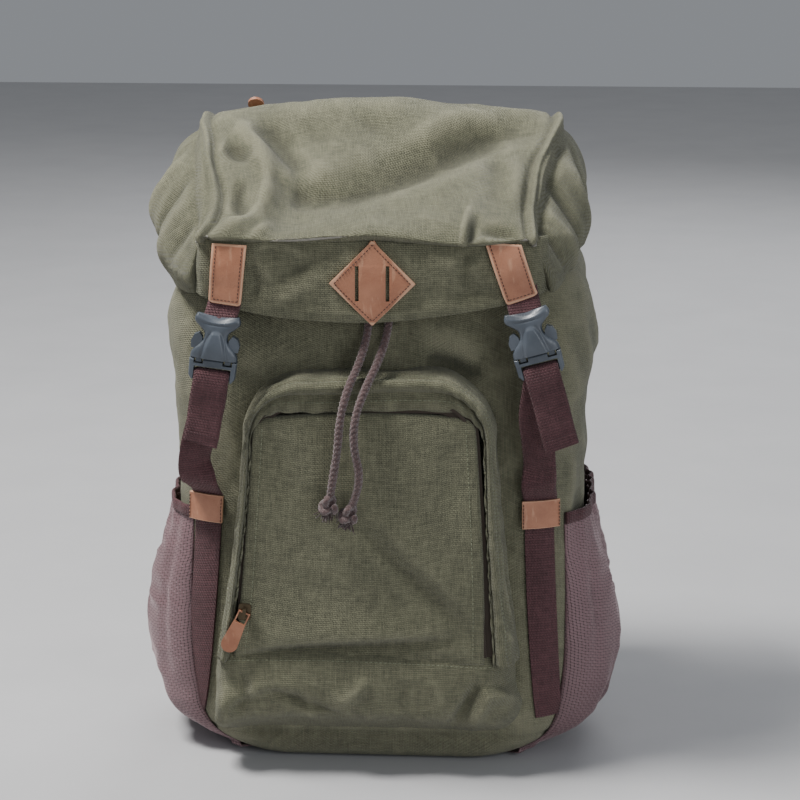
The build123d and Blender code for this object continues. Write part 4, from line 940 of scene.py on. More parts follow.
# ---- lid: crown and ears ----
# The lid is a soft hood. Its crown runs from the back seam over the ridge to the front seam, and a bellows of
# canvas at each side, turned over a cord at the crown's edge, hangs down as an ear. Nothing stiffens it, so the
# crown has sunk into one long slanting hollow.
lid_net = [
    # left hem, low ear, ear, roll, left seam, crown x3, right seam, roll, ear, low ear, right hem
    [(-130, 82, 399), (-138, 82, 410), (-136, 82, 423), (-128, 85, 433), (-118, 87, 436), (-55, 88, 437),
     (0, 88, 437), (55, 88, 437), (108, 87, 436), (116, 85, 434), (124, 82, 424), (127, 82, 410), (121, 82, 399)],
    [(-136, 76, 397), (-147, 76, 411), (-144, 76, 428), (-134, 79, 441), (-124, 81, 446), (-58, 82, 449),
     (0, 82, 450), (58, 82, 448), (113, 81, 446), (121, 79, 442), (130, 76, 429), (134, 76, 411), (127, 76, 397)],
    [(-141, 60, 394), (-154, 60, 411), (-150, 60, 433), (-138, 63, 448), (-129, 65, 455), (-60, 67, 462),
     (-5, 67, 463), (60, 67, 461), (118, 65, 456), (126, 63, 449), (135, 60, 434), (140, 60, 412), (133, 60, 394)],
    [(-145, 28, 383), (-161, 26, 402), (-156, 26, 428), (-137, 26, 446), (-129, 31, 455.5), (-60, 33, 466),
     (-18, 34, 469), (50, 33, 465), (119, 31, 457), (127, 26, 449), (140, 24, 430), (146, 22, 402), (140, 24, 381)],
    [(-147, -8, 367), (-165, -14, 398), (-155, -12, 421), (-134, -10, 439), (-121, -9, 446), (-62, -6, 443),
     (-10, -8, 443.5), (50, -8, 448), (112, -7, 447), (121, -10, 438), (138, -14, 421), (147, -14, 397),
     (142, -14, 377)],
    [(-148, -42, 357), (-161, -42, 386), (-149, -44, 408), (-128, -46, 427), (-117, -36, 434), (-64, -44, 426),
     (-10, -46, 428), (48, -46, 434), (104, -36, 432), (115, -42, 423), (131, -46, 404), (141, -48, 386),
     (138, -50, 368)],
    [(-142, -74, 352), (-151, -73, 375), (-142, -72, 394), (-124, -72, 410), (-107, -70, 415), (-58, -80, 411),
     (-4, -78, 413), (48, -76, 418), (101, -74, 412), (111, -74, 403), (125, -76, 390), (134, -78, 374),
     (132, -80, 361)],
    [(-131, -95, 351), (-136, -96, 366), (-131, -95, 382), (-122, -96, 397), (-108, -97, 403), (-58, -106, 401),
     (0, -104, 403), (52, -104, 404), (102, -101, 401), (110, -98, 395), (119, -96, 383), (126, -96, 369),
     (126, -98, 358)],
    [(-126, -101, 352), (-129, -104, 364), (-125, -104, 378), (-120, -107, 390), (-114, -113, 394.5),
     (-60, -116.5, 393), (0, -114.5, 397), (56, -116.5, 392.5), (103, -112.5, 395), (109, -107, 391),
     (114, -104, 379), (120, -103, 367), (122, -103, 356)],
    [(-123, -100, 353), (-124, -103, 365), (-121, -103, 378), (-118, -105, 388), (-113, -109, 390),
     (-60, -111.5, 389), (0, -111, 392), (56, -111.5, 388.5), (102, -109, 390.5), (107, -105, 388), (111, -102, 378),
     (116, -101, 367), (119, -101, 357)],
]
lid_rows, lid_columns = 132, 284
lid_wall = 0.8

lid = net(lid_net, lid_rows, lid_columns)
at_station = np.linspace(0, 12, lid_columns)[None, :]
at_row = np.linspace(0, len(lid_net) - 1, lid_rows)[:, None]
out = facings(lid, (-6, -10, 385))
x, y, z = lid[..., 0], lid[..., 1], lid[..., 2]
on_crown = rise(at_station, 3.7, 0.5) * fall(at_station, 8.3, 0.5)
on_front = rise(at_row, 2.7, 0.8)
edge_quiet = fall(at_row, 9, 0.7) ** 0.5 * rise(at_row, 0, 0.7)
crown_folds = folds(
    x, z,
    ([(116, 462), (80, 455), (40, 444), (0, 431), (-34, 421), (-76, 411)], 20, -15.5, 8),
    ([(108, 449), (66, 438), (26, 426), (-12, 414), (-52, 406)], 11, 6.2),
    ([(-30, 458), (0, 452), (30, 455)], 12, -3.2),
    ([(-96, 452), (-60, 448), (-40, 438)], 12, -2.4),
    ([(-114, 444), (-104, 440), (-92, 437)], 4.5, -5.5),
    ([(-110, 452), (-98, 447), (-86, 436), (-78, 422), (-80, 409)], 5.5, 5.0, 6),
    ([(-98, 451), (-80, 446), (-60, 430), (-56, 418)], 9, -5.0, 5),
    ([(-78, 410), (-92, 402), (-112, 396)], 4.5, 4.2),
    ([(-98, 424), (-96, 412), (-88, 405)], 5, -4.2),
    ([(-90, 428), (-60, 422), (-34, 424)], 4.5, -3.4, 6),
    ([(-68, 444), (-50, 432), (-20, 430)], 9, 2.0),
    ([(61, 390), (61.5, 399), (64, 412)], 2.6, 3.4),
    ([(66, 391), (67, 398), (69, 408)], 3.2, -2.6),
    ([(72, 399), (88, 398), (104, 395)], 3.2, -3.6),
    ([(-86, 393), (-78, 399), (-70, 404)], 3.2, 2.2),
    ([(-20, 396), (0, 402), (24, 396)], 6, 1.6),
    ([(90, 440), (96, 425), (92, 410)], 7, 2.2),
    ([(76, 448), (80, 430), (78, 412)], 7, -1.6),
)
ridge_folds = folds(
    x, y,
    ([(-80, 60), (-50, 44), (-10, 40)], 9, -2.0),
    ([(30, 56), (60, 42), (100, 40)], 10, -2.2),
    ([(-20, 70), (10, 52), (40, 50)], 9, 1.6),
)
ear_folds = folds(
    y, z,
    ([(22, 440), (4, 418), (2, 390), (10, 368)], 6, -5.0),
    ([(-6, 436), (-20, 414), (-22, 384), (-14, 362)], 7, 3.6),
    ([(-34, 430), (-44, 408), (-46, 380), (-40, 358)], 5.5, -5.0),
    ([(-58, 420), (-66, 400), (-68, 376), (-60, 356)], 6, 3.6),
    ([(-82, 404), (-84, 388), (-84, 366)], 4.5, -3.8),
    ([(48, 446), (44, 420), (46, 396)], 8, 3.0),
    ([(70, 436), (64, 416), (62, 398)], 6, -3.0),
)
on_ear = fall(at_station, 3.3, 0.8) + rise(at_station, 8.7, 0.8)
raised = on_crown * on_front * 1.55 * crown_folds + on_crown * (1 - on_front) * 0.5 * ridge_folds
raised += on_ear * ear_folds * 1.15
raised += crumple(x, y * 0.8 + z, 51, 70, 0.9) + crumple(x + z, y, 52, 26, 0.2)
for seam, lean in ((3.95, -0.22), (8.05, 0.22)):
    raised -= 3.4 * bell(at_station - seam, 0.085) * rise(at_row, 1, 1.2)
    raised += 2.6 * bell(at_station - seam - lean, 0.17) * rise(at_row, 1, 1.2)
    raised += 2.2 * bell(at_station - seam - 3.2 * lean, 0.3) * rise(at_row, 1.5, 1.5)
    raised -= 2.6 * bell(at_station - seam - 5.4 * lean, 0.16) * rise(at_row, 2, 1.5)
lid = lid + out * (raised * edge_quiet)[..., None]
lid_hood = grid_piece("lid_hood", lid, canvas, "lid", (-6, -10, 385), wall=lid_wall, inner=lining)
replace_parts(lid_hood, "lid_top_panel", "lid_side_left", "lid_side_right")

# ---- lid: front band ----
# A band below the front seam, hemmed along the bottom and pulled up a little at both ends by the buckles.
band_hem = ([-125, -112, -89, -51, 0, 38, 93, 112, 122], [353, 348, 341, 335.6, 334.4, 338, 348, 354, 357])
band_x = [-124.5, -122.5, -116, -90, -50, 0, 45, 80, 102, 112.5, 118.5]
band_front = [-98, -104.5, -109.5, -111.4, -111.6, -111.6, -111.6, -111.4, -109.6, -105, -99]
band_rows, band_columns = 64, 240


def band_net():
    """Rows from the seam down to the hem and up again inside; the share of the drop and the swell of each row."""
    hem = np.interp(band_x, *band_hem)
    shares = [
        (0.0, 2.4), (0.08, 0.2), (0.3, -1.2), (0.55, -1.5), (0.8, -0.6),
        (0.97, 0.6), (1.0, 2.2), (0.97, 4.0), (0.8, 4.6),
    ]
    top = 394.2 - 1.5 * np.cos(np.array(band_x) / 60)
    return [
        [
            (px, py + swell * (1 if abs(px) < 119 else 0.4), t - (t - h) * share)
            for px, py, t, h in zip(band_x, band_front, top, hem)
        ]
        for share, swell in shares
    ]


band = net(band_net(), band_rows, band_columns)
x, z = band[..., 0], band[..., 2]
out = facings(band[:40], (0, -60, 365))
out = np.concatenate([out, np.repeat(out[-1:], band_rows - 40, 0)])
fade = fall(np.arange(band_rows), 44, 10)[:, None] * rise(np.arange(band_rows), 0, 4)[:, None]
fade = fade * np.sin(np.pi * np.linspace(0, 1, band_columns)) ** 0.3
raised = folds(
    x, z,
    ([(-22, 386), (-46, 372), (-74, 356)], 9, -2.6, 7),
    ([(-30, 378), (-50, 362), (-70, 348)], 8, 1.6),
    ([(-84, 384), (-72, 388), (-50, 384)], 5, 2.0),
    ([(34, 386), (56, 376), (74, 372)], 9, 1.8),
    ([(68, 388), (62, 374), (66, 358)], 5, -2.6),
    ([(48, 352), (70, 356), (92, 356)], 5, -1.6),
    ([(-60, 342), (0, 340), (60, 346)], 4, 1.2),
    ([(-84, 376), (-80, 362), (-84, 350)], 4.5, -1.8),
    ([(10, 372), (30, 356), (46, 350)], 9, -1.3),
)
raised += crumple(x, z * 1.2, 61, 44, 0.45)
band = band + out * (1.4 * raised * fade)[..., None]
lid_band = grid_piece("lid_band", band, canvas, "lid", (0, -60, 365), wall=1.0)
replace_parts(lid_band, "lid_front_band")

# ---- lid: lining ----
# The floor of the lid's zip pocket: a loose cotton sheet sewn in round the inside of the hood.
lining_net = [
    [(-122, 80, 425), (-60, 81, 430), (-5, 81, 431), (55, 81, 430), (112, 80, 425)],
    [(-132, 40, 424), (-66, 38, 431), (-5, 36, 432), (58, 38, 432), (122, 40, 424)],
    [(-134, -5, 411), (-66, -8, 411), (-5, -10, 409.5), (58, -8, 412), (122, -5, 411)],
    [(-124, -55, 396), (-64, -58, 398), (-5, -60, 398), (56, -58, 398.5), (112, -55, 396)],
    [(-108, -92, 386), (-60, -97, 384), (-5, -98, 384), (52, -97, 384), (98, -92, 386)],
]
lining_rows, lining_columns = 60, 90
lining_cloth = net(lining_net, lining_rows, lining_columns)
x, y = lining_cloth[..., 0], lining_cloth[..., 1]
rows_share, columns_share = np.linspace(0, 1, lining_rows)[:, None], np.linspace(0, 1, lining_columns)[None, :]
quiet = (np.sin(np.pi * rows_share) * np.sin(np.pi * columns_share)) ** 0.4
lining_cloth[..., 2] -= quiet * (2.0 + crumple(x, y, 71, 50, 2.0) + crumple(x, y, 72, 20, 0.5))
lid_lining = grid_piece("lid_lining_cloth", lining_cloth, lining, "lid", (0, 0, 600), wall=0.8)
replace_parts(lid_lining, "lid_lining")

# ---- lid: leather patch and tabs ----
# Oiled tan leather, 2 mm thick, with burnished pale edges and dark brown stitching: a square lash patch set on
# its corner with two slots, and two tabs that fold over the buckles' webbing.
patch_middle, patch_half = (-1.0, 362.6), 29.6
slot_place, slot_wide, slot_tall = 10.5, 2.6, 25.0
leather_wall, rubbed_edge = 2.0, 0.3


def tanned(name, dark, light, edge):
    """Oiled leather: slow cloudy stain, fine pebbled grain with small pores, edges rubbed pale, soft shine."""
    material, wires, shader = new_material(name)
    place = wires.place()
    wear_and_shade = use(wires, wear_and_shade_group, Place=place, Rub=wires.rub(), Size=34.0)
    stain = wires.span(wear_and_shade["Patch"], 0.28, 0.72)
    pores = wires.add("TexVoronoi", {"Vector": place, "Scale": 950.0})
    colour = wires.mix(stain, dark, light)
    colour = wires.mix(wires.span(pores, 0.0, 0.32, 0.30, 0.0), colour, dim(dark, 0.5))
    scuff = wires.span(wires.noise(wires.stretch(place, (1, 1, 0.25)), 260.0, 3.0), 0.58, 0.72, 0.0, 0.35)
    colour = wires.mix(scuff, colour, edge)
    colour = wires.mix(wires.times(wear_and_shade["Pale"], 0.75), colour, edge)
    wires.join(shader["Base Color"], colour)
    wires.join(shader["Roughness"], wires.span(stain, 0.0, 1.0, 0.52, 0.40))
    grain = wires.plus(wires.times(pores, 0.7), wires.noise(place, 420.0, 3.0))
    wires.bump(shader, 0.5, 0.0003, grain)
    return material


tan_leather = tanned("tan_leather", (0.26, 0.10, 0.052, 1), (0.43, 0.195, 0.112, 1), (0.60, 0.35, 0.22, 1))
leather_thread = thread_material("brown_thread", (0.075, 0.032, 0.022, 1))


def front_of(grid, facing_ways, x, z):
    """How far forward a cloth reaches at places seen from the front: the mean of its four nearest points."""
    flat = grid.reshape(-1, 3)
    flat = flat[facing_ways.reshape(-1, 3)[:, 1] < -0.2]
    found = np.zeros(x.size)
    for k, (px, pz) in enumerate(zip(x.ravel(), z.ravel())):
        gap = (flat[:, 0] - px) ** 2 + (flat[:, 2] - pz) ** 2
        near = np.argpartition(gap, 4)[:4]
        found[k] = flat[near, 1].mean()
    return found.reshape(x.shape)


def smooth_rows(values, times):
    """Numbers or points on a grid averaged with their neighbours, so that leather bridges the folds under it."""
    edges = [(1, 1), (1, 1)] + [(0, 0)] * (values.ndim - 2)
    for _ in range(times):
        wide = np.pad(values, edges, mode="edge")
        values = (wide[:-2, 1:-1] + wide[2:, 1:-1] + wide[1:-1, :-2] + wide[1:-1, 2:]) / 4
    return values


def rounded(piece, width):
    """The sharp edges of a piece rounded over."""
    bevel = piece.modifiers.new("edge", "BEVEL")
    bevel.width, bevel.segments, bevel.limit_method, bevel.angle_limit = width * mm, 2, "ANGLE", 1.0


def set_rub(piece, rub):
    """How rubbed each point of a grid piece is."""
    piece.data.attributes["rub"].data.foreach_set("value", rub.astype(np.float32).ravel())


def leather_piece(name, x, z, y, lift, holes=()):
    """A flat leather piece over the lid: its edges are rounded over, and faces inside holes are left out."""
    front = np.stack([x, y - leather_wall - lift, z], -1)
    piece = grid_piece(name, front, tan_leather, "lid", (x.mean(), y.mean() + 60, z.mean()))
    mesh = piece.data
    row_edge = np.minimum(np.arange(x.shape[0]), np.arange(x.shape[0])[::-1])[:, None]
    column_edge = np.minimum(np.arange(x.shape[1]), np.arange(x.shape[1])[::-1])[None, :]
    set_rub(piece, np.where(np.minimum(row_edge, column_edge) <= 1, rubbed_edge, 0.0))
    if holes:
        shape = bmesh.new()
        shape.from_mesh(mesh)
        shape.faces.ensure_lookup_table()
        bmesh.ops.delete(shape, geom=[shape.faces[k] for k in holes], context="FACES")
        shape.to_mesh(mesh)
        shape.free()
    solid = piece.modifiers.new("wall", "SOLIDIFY")
    solid.thickness, solid.offset = leather_wall * mm, -1
    rounded(piece, 0.55)
    return piece


band_way = facings(band, (0, -60, 365))
slot_end = slot_tall / 2 / patch_half
down_share = np.unique(np.concatenate([np.linspace(-1, 1, 45), [-slot_end, slot_end]]))
patch_z = down_share * patch_half * 0.985
half_here = np.maximum(patch_half - np.abs(patch_z), 0.5)
slot_out = np.minimum(slot_place + slot_wide / 2, 0.86 * half_here)
slot_in = np.minimum(slot_place - slot_wide / 2, 0.66 * half_here)
marks = [-half_here, -slot_out, -slot_in, slot_in, slot_out, half_here]
counts = [8, 4, 14, 4, 8]
steps_across = [
    m + (n - m) * t for m, n, c in zip(marks[:-1], marks[1:], counts) for t in np.linspace(0, 1, c + 1)[:-1]
]
patch_x = np.concatenate([*steps_across, marks[-1]]).reshape(-1, len(patch_z)).T
patch_x, patch_z = patch_x + patch_middle[0], patch_z[:, None] + patch_middle[1] + 0 * patch_x
patch_y = smooth_rows(front_of(band, band_way, patch_x, patch_z), 30)
rows, columns = patch_x.shape
r, c = np.meshgrid(np.arange(rows - 1), np.arange(columns - 1), indexing="ij")
slot_edges = np.cumsum(counts)
in_slot = ((c >= slot_edges[0]) & (c < slot_edges[1])) | ((c >= slot_edges[2]) & (c < slot_edges[3]))
middle_z = (patch_z[r, 0] + patch_z[r + 1, 0]) / 2 - patch_middle[1]
cut = np.flatnonzero((in_slot & (np.abs(middle_z) < slot_tall / 2)).ravel()).tolist()
lash_patch = leather_piece("lash_patch", patch_x, patch_z, patch_y, 0.3, cut)
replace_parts(lash_patch, "lid_patch")
corners_round = [(0, -1), (1, 0), (0, 1), (-1, 0), (0, -1)]
inset = patch_half - 3.4
outline = np.array([(patch_middle[0] + inset * a, patch_middle[1] + inset * b) for a, b in corners_round])
outline = np.concatenate([np.linspace(outline[k], outline[k + 1], 30)[:-1] for k in range(4)] + [outline[-1:]])
patch_places = np.stack([patch_x, patch_y, patch_z], -1)
outline_y = front_of(patch_places, np.zeros(patch_places.shape) - 1, outline[:, 0], outline[:, 1])
leather_lines = [flat_row(np.stack([outline[:, 0], outline_y - leather_wall - 0.45, outline[:, 1]], -1))]

tab_rows, tab_columns = 40, 26
tab_side_rows, tab_foot_row = (0.12, 0.88), 0.93
tab_corners = {
    # top left, top right, foot right, foot left
    "left": [(-110.8, 389.5), (-86.8, 388.5), (-91.4, 345.6), (-114.0, 348.2)],
    "right": [(75.4, 392.5), (100.6, 390.5), (112.0, 355.6), (90.6, 348.4)],
}
for name, (top_left, top_right, foot_right, foot_left) in tab_corners.items():
    s, t = np.meshgrid(np.linspace(0, 1, tab_columns), np.linspace(0, 1, tab_rows))
    top = np.array(top_left)[None, None] * (1 - s[..., None]) + np.array(top_right) * s[..., None]
    foot = np.array(foot_left)[None, None] * (1 - s[..., None]) + np.array(foot_right) * s[..., None]
    place = top * (1 - t[..., None]) + foot * t[..., None]
    x, z = place[..., 0], place[..., 1]
    round_foot = rise(np.abs(s - 0.5), 0.38, 0.12) ** 2 * rise(t, 0.85, 0.15)
    z = z + 1.6 * round_foot
    y = smooth_rows(front_of(band, band_way, x, z), 24)
    y = y - 1.4 * np.sin(np.pi * t) ** 0.7 - 2.0 * rise(t, 0.7, 0.3)
    tab = leather_piece(f"leather_tab_{name}", x, z, y, 0.2)
    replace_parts(tab, f"lid_tab_{name}")
    tab_face = np.stack([x, y - leather_wall - 0.35, z], -1)
    down, over = np.linspace(0.04, tab_foot_row, 60), np.linspace(*tab_side_rows, 40)
    for rows, columns in ((down, tab_side_rows[0]), (down, tab_side_rows[1]), (tab_foot_row, over)):
        row_points = on_grid(tab_face, tab_face, rows * (tab_rows - 1), columns * (tab_columns - 1))[0]
        leather_lines.append(flat_row(row_points))
stitches("leather_stitches_lid", leather_lines, leather_thread, "lid", 2.6, 1.9, 0.3)

# ---- side webbing and its leather patches ----
# A strap of wine-coloured webbing runs up each front edge from the base seam. A leather patch, stitched down at
# both sides, covers the join where the loose load strap comes out.
side_webbing_line = {
    # height, place across the front
    "left": ([12, 60, 120, 170, 206], [-137, -131.5, -126, -122, -120]),
    "right": ([34, 80, 130, 175, 206], [124, 120.5, 117.5, 115.5, 115]),
}
strap_width, strap_wall = 25.0, 1.8
patch_low, patch_high, patch_half_width = 181.5, 204.0, 14.0
bag_girth = 843.0
front_start, front_end = 78, 187


def round_front(x, level, offsets):
    """Places on the displaced sack: start where the outline at each level has this x, then go round it by the
    offsets, in millimetres. The places are smoothed, so that a strap bridges the small crumples."""
    rows = np.interp(level, bag_level[:100], np.arange(100))
    spacing = bag_girth / bag_columns
    columns = np.empty(len(rows))
    for k, (px, row) in enumerate(zip(x, rows)):
        section = bag[int(round(row)), front_start:front_end, 0]
        columns[k] = front_start + np.interp(px, section, np.arange(len(section)))
    columns = columns[:, None] + offsets[None, :] / spacing
    rows = rows[:, None] + 0 * columns
    place, way = on_grid(bag, bag_out, rows.ravel(), columns.ravel())
    place, way = place.reshape(*rows.shape, 3), way.reshape(*rows.shape, 3)
    return smooth_rows(place, 14), unit(smooth_rows(way, 8))


webbing_thread = thread_material("wine_thread", (0.085, 0.036, 0.042, 1))
patch_lines = []
for name, (levels, places) in side_webbing_line.items():
    level = np.linspace(levels[0], levels[-1], 110)
    centre = through(levels, places, level)[..., 0]
    place, way = round_front(centre, level, np.linspace(-strap_width / 2, strap_width / 2, 22))
    strap = place + way * (strap_wall + 0.5)
    piece = grid_piece(
        f"side_webbing_{name}_cloth", strap, wine_webbing, "bag", (0, 0, 100), wall=strap_wall, weight=0.2
    )
    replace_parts(piece, f"side_webbing_{name}")
    level = np.linspace(patch_low, patch_high, 34)
    centre = through(levels, places, level)[..., 0]
    place, way = round_front(centre, level, np.linspace(-patch_half_width, patch_half_width, 34))
    lifted = place + way * (2 * strap_wall + leather_wall + 1.0)
    cover = grid_piece(f"leather_cover_{name}", lifted, tan_leather, "bag", (0, 0, 190), wall=leather_wall)
    rounded(cover, 0.5)
    rub = np.zeros(lifted.shape[:2])
    rub[:2] = rub[-2:] = rub[:, :1] = rub[:, -1:] = rubbed_edge
    set_rub(cover, rub)
    if name == "left":
        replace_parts(cover, "leather_patches")
    for column in (2.2, 30.8):
        patch_lines.append(on_grid(lifted + way * 0.35, way, np.linspace(1.5, 31.5, 50), column))
stitches("leather_stitches_bag", patch_lines, leather_thread, "bag", 2.6, 1.9, 0.3)

# ---- load straps ----
# From each patch the strap rises loose to the male half of the buckle, goes round its bar and comes down again
# in front as a short tail, whose end is folded over and sewn so that it can't pull out.


def ribbon(
    name, path, turn, width, wall, material, body, rows=70, weight=0.2, count=13, crown=None,
    quilt=None,
):
    """A strap along a smooth path: an oblong section whose long way is given at each point, as a direction or as
    an angle from the X axis. Webbing is flat with thicker selvedges, and a padded strap has a crown, the power at
    which its filling thins out towards its edges. A quilt adds to its thickness at each place across and along."""
    path = np.array(path, float)
    keys = lengths(path, 0)
    at = np.linspace(0, keys[-1], rows)
    centre = through(keys, path, at)
    turn = np.array(turn, float)
    if turn.ndim == 1:
        turn = np.stack([np.cos(np.radians(turn)), np.sin(np.radians(turn)), 0 * turn], -1)
    across = through(keys, turn, at)
    half = through(keys, np.broadcast_to(width, len(path)) / 2.0, at)[..., 0]
    way = unit(np.gradient(centre, axis=0))
    across = unit(across - way * (across * way).sum(-1, keepdims=True))
    thick = np.cross(across, way)
    shares = np.concatenate([np.linspace(-1, 1, count), np.linspace(1, -1, count)])
    sides = np.concatenate([np.ones(count), -np.ones(count)])
    wall = through(keys, np.broadcast_to(wall, len(path)), at)
    if crown is None:
        swell = (0.86 + 0.14 * np.abs(shares) ** 6) * np.clip((1.02 - np.abs(shares)) / 0.08, 0.35, 1)
    else:
        swell = 0.2 + 0.8 * np.clip(1 - np.abs(shares) ** crown, 0, 1) ** 0.5
    swell = 0.5 * wall * swell[None, :]
    if quilt is not None:
        swell = swell + quilt(shares[None, :] * half[:, None], at[:, None] + 0 * swell, sides[None, :])
    section = (
        centre[:, None]
        + across[:, None] * (shares[None, :] * half[:, None])[..., None]
        + thick[:, None] * (sides * swell)[..., None]
    )
    piece = closed_piece(name, section, material, body, centre.mean(0), weight)
    return piece, centre, across, thick


buckle_tops = {"left": (-106.5, 340.0, -7.4), "right": (103.5, 346.0, 15.8)}
buckle_middle = -116.8
bar_down = 43.4


def on_buckle(name, across, down, out):
    """A place given across a buckle, down from its top edge and out from its middle plane."""
    x, z, tilt = buckle_tops[name]
    tilt = np.radians(tilt)
    return np.stack(
        np.broadcast_arrays(
            x + np.cos(tilt) * across + np.sin(tilt) * down,
            buckle_middle - out,
            z + np.sin(tilt) * across - np.cos(tilt) * down,
        ),
        -1,
    )


entry_turn = {"left": 16, "right": -10}
load_paths = {
    # the strap's places and turns down to the patch, then its tail's below the bar
    "left": (
        [(-113, -112.6, 297), (-114.5, -113, 284), (-119, -110, 264), (-125.5, -105.5, 243), (-128, -101, 228),
         (-124.5, -96.5, 214)],
        [0, 2, 10, 26, 30],
        [(-116.5, -119.6, 274), (-119, -119.4, 258), (-121.2, -118.6, 248.5)],
        [-3, -6, -8],
    ),
    "right": (
        [(116, -112.6, 303), (114.5, -112.8, 290), (112, -110, 268), (114, -104.5, 246), (115.2, -99.5, 228),
         (114.6, -95.6, 214)],
        [0, 0, -12, -20, -18],
        [(122.5, -119.6, 279), (127, -119.6, 262), (130.6, -118.8, 249.5)],
        [10, 14, 16],
    ),
}
for name, (path, turn, tail_path, tail_turn) in load_paths.items():
    levels, places = side_webbing_line[name]
    under = np.linspace(190, 206, 9)
    seat, seat_way = round_front(through(levels, places, under)[..., 0], under, np.array([-1.0, 0.0, 1.0]))
    path = path + [tuple(seat[k, 1] + seat_way[k, 1] * (1.5 * strap_wall + 0.7)) for k in (8, 0)]
    seat_turn = np.degrees(np.arctan2(seat_way[4, 1, 0], -seat_way[4, 1, 1]))
    turn = turn + [entry_turn[name] * 0.4 + seat_turn * 0.6, seat_turn, seat_turn]
    main, *_ = ribbon(f"load_strap_{name}_cloth", path, turn, strap_width - 0.6, strap_wall, wine_webbing, "bag")
    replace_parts(main, f"load_strap_{name}")
    wrap_down = bar_down + np.array([3.5, 0.0, -3.0, -4.3, -3.0, 0.0])
    wrap = on_buckle(name, 0.0, wrap_down, np.array([-4.2, -4.4, -3.4, 0.0, 3.4, 4.4]))
    tilted = on_buckle(name, 1.0, 0.0, 0.0) - on_buckle(name, 0.0, 0.0, 0.0)
    flat_turn = [(np.cos(np.radians(a)), np.sin(np.radians(a)), 0.0) for a in tail_turn]
    _, centre, across, thick = ribbon(
        f"load_tail_{name}", [*wrap, *tail_path], [tilted] * len(wrap) + flat_turn, strap_width - 0.4, strap_wall,
        wine_webbing, "bag", rows=90,
    )
    end = centre[-13:]
    ribbon(
        f"load_tail_end_{name}", end[::4] + [0, 1.7, 0.2], [flat_turn[-1]] * 4, strap_width - 0.6, strap_wall,
        wine_webbing, "bag", rows=16,
    )
    hem_line = end[2] - thick[-11] * (0.5 * strap_wall + 0.15) * np.sign(thick[-11][1] + 1e-9)
    line = hem_line + across[-11] * np.linspace(-10.5, 10.5, 30)[:, None]
    stitches(f"tail_stitches_{name}", [flat_row(line)], webbing_thread, "bag", 2.2, 1.6, 0.28)

# ---- lid loops ----
# A short loop of the same webbing comes out from under each leather tab and holds the buckle's female half.
loop_paths = {
    "left": [(-101.5, -109.0, 362), (-102.4, -110.6, 351), (-104.2, -113.6, 343), (-106.2, -116.8, 336.6)],
    "right": [(99.0, -106.0, 368), (100.4, -107.6, 358), (102.4, -112.6, 350), (104.4, -116.8, 342.0)],
}
for name, path in loop_paths.items():
    loop, *_ = ribbon(f"lid_loop_{name}", path, [0.0] * 4, strap_width - 2.2, 2.6, wine_webbing, "lid", rows=30)
    if name == "left":
        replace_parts(loop, "tab_loops")

# ---- buckles, ladder locks and cord lock ----
# Moulded acetal, slate grey, with the soft gloss and faint scratches of handled plastic.


def moulded(name, dark, light, rough):
    """Moulded plastic: almost even colour, faint flow marks, fine scratches that change only the shine."""
    material, wires, shader = new_material(name)
    place = wires.place()
    flow = wires.span(wires.noise(place, 60.0, 3.0), 0.35, 0.65)
    wires.join(shader["Base Color"], wires.mix(flow, dark, light))
    scratch = wires.noise(wires.stretch(place, (1, 1, 0.15)), 900.0, 2.0)
    wires.join(shader["Roughness"], wires.span(scratch, 0.45, 0.7, rough, rough + 0.16))
    wires.bump(shader, 0.15, 0.0001, scratch)
    shader["Specular IOR Level"].default_value = 0.6
    return material


def finish_nodes(material, *names):
    """CAD pieces whose shape is right only get their finish."""
    for name in names:
        for holder in nodes[name].material_slots:
            holder.material = material


slate_plastic = moulded("slate_plastic", (0.046, 0.056, 0.070, 1), (0.072, 0.086, 0.106, 1), 0.36)
housing_rows, housing_columns = 74, 104
housing_down = [0, 3, 6, 9, 12, 15, 18, 21, 24, 27, 31]
housing_half = [14.6, 15.8, 15.2, 12.0, 8.8, 8.0, 8.6, 10.8, 13.8, 15.8, 16.4]
housing_deep = [2.6, 4.0, 4.2, 4.0, 4.2, 4.6, 5.0, 5.3, 5.4, 5.3, 5.0]
cavity_down, cavity_half, cavity_deep = [31, 30.6, 27, 23.5], [15.2, 14.2, 13.6, 12.8], [4.0, 3.7, 3.5, 3.4]


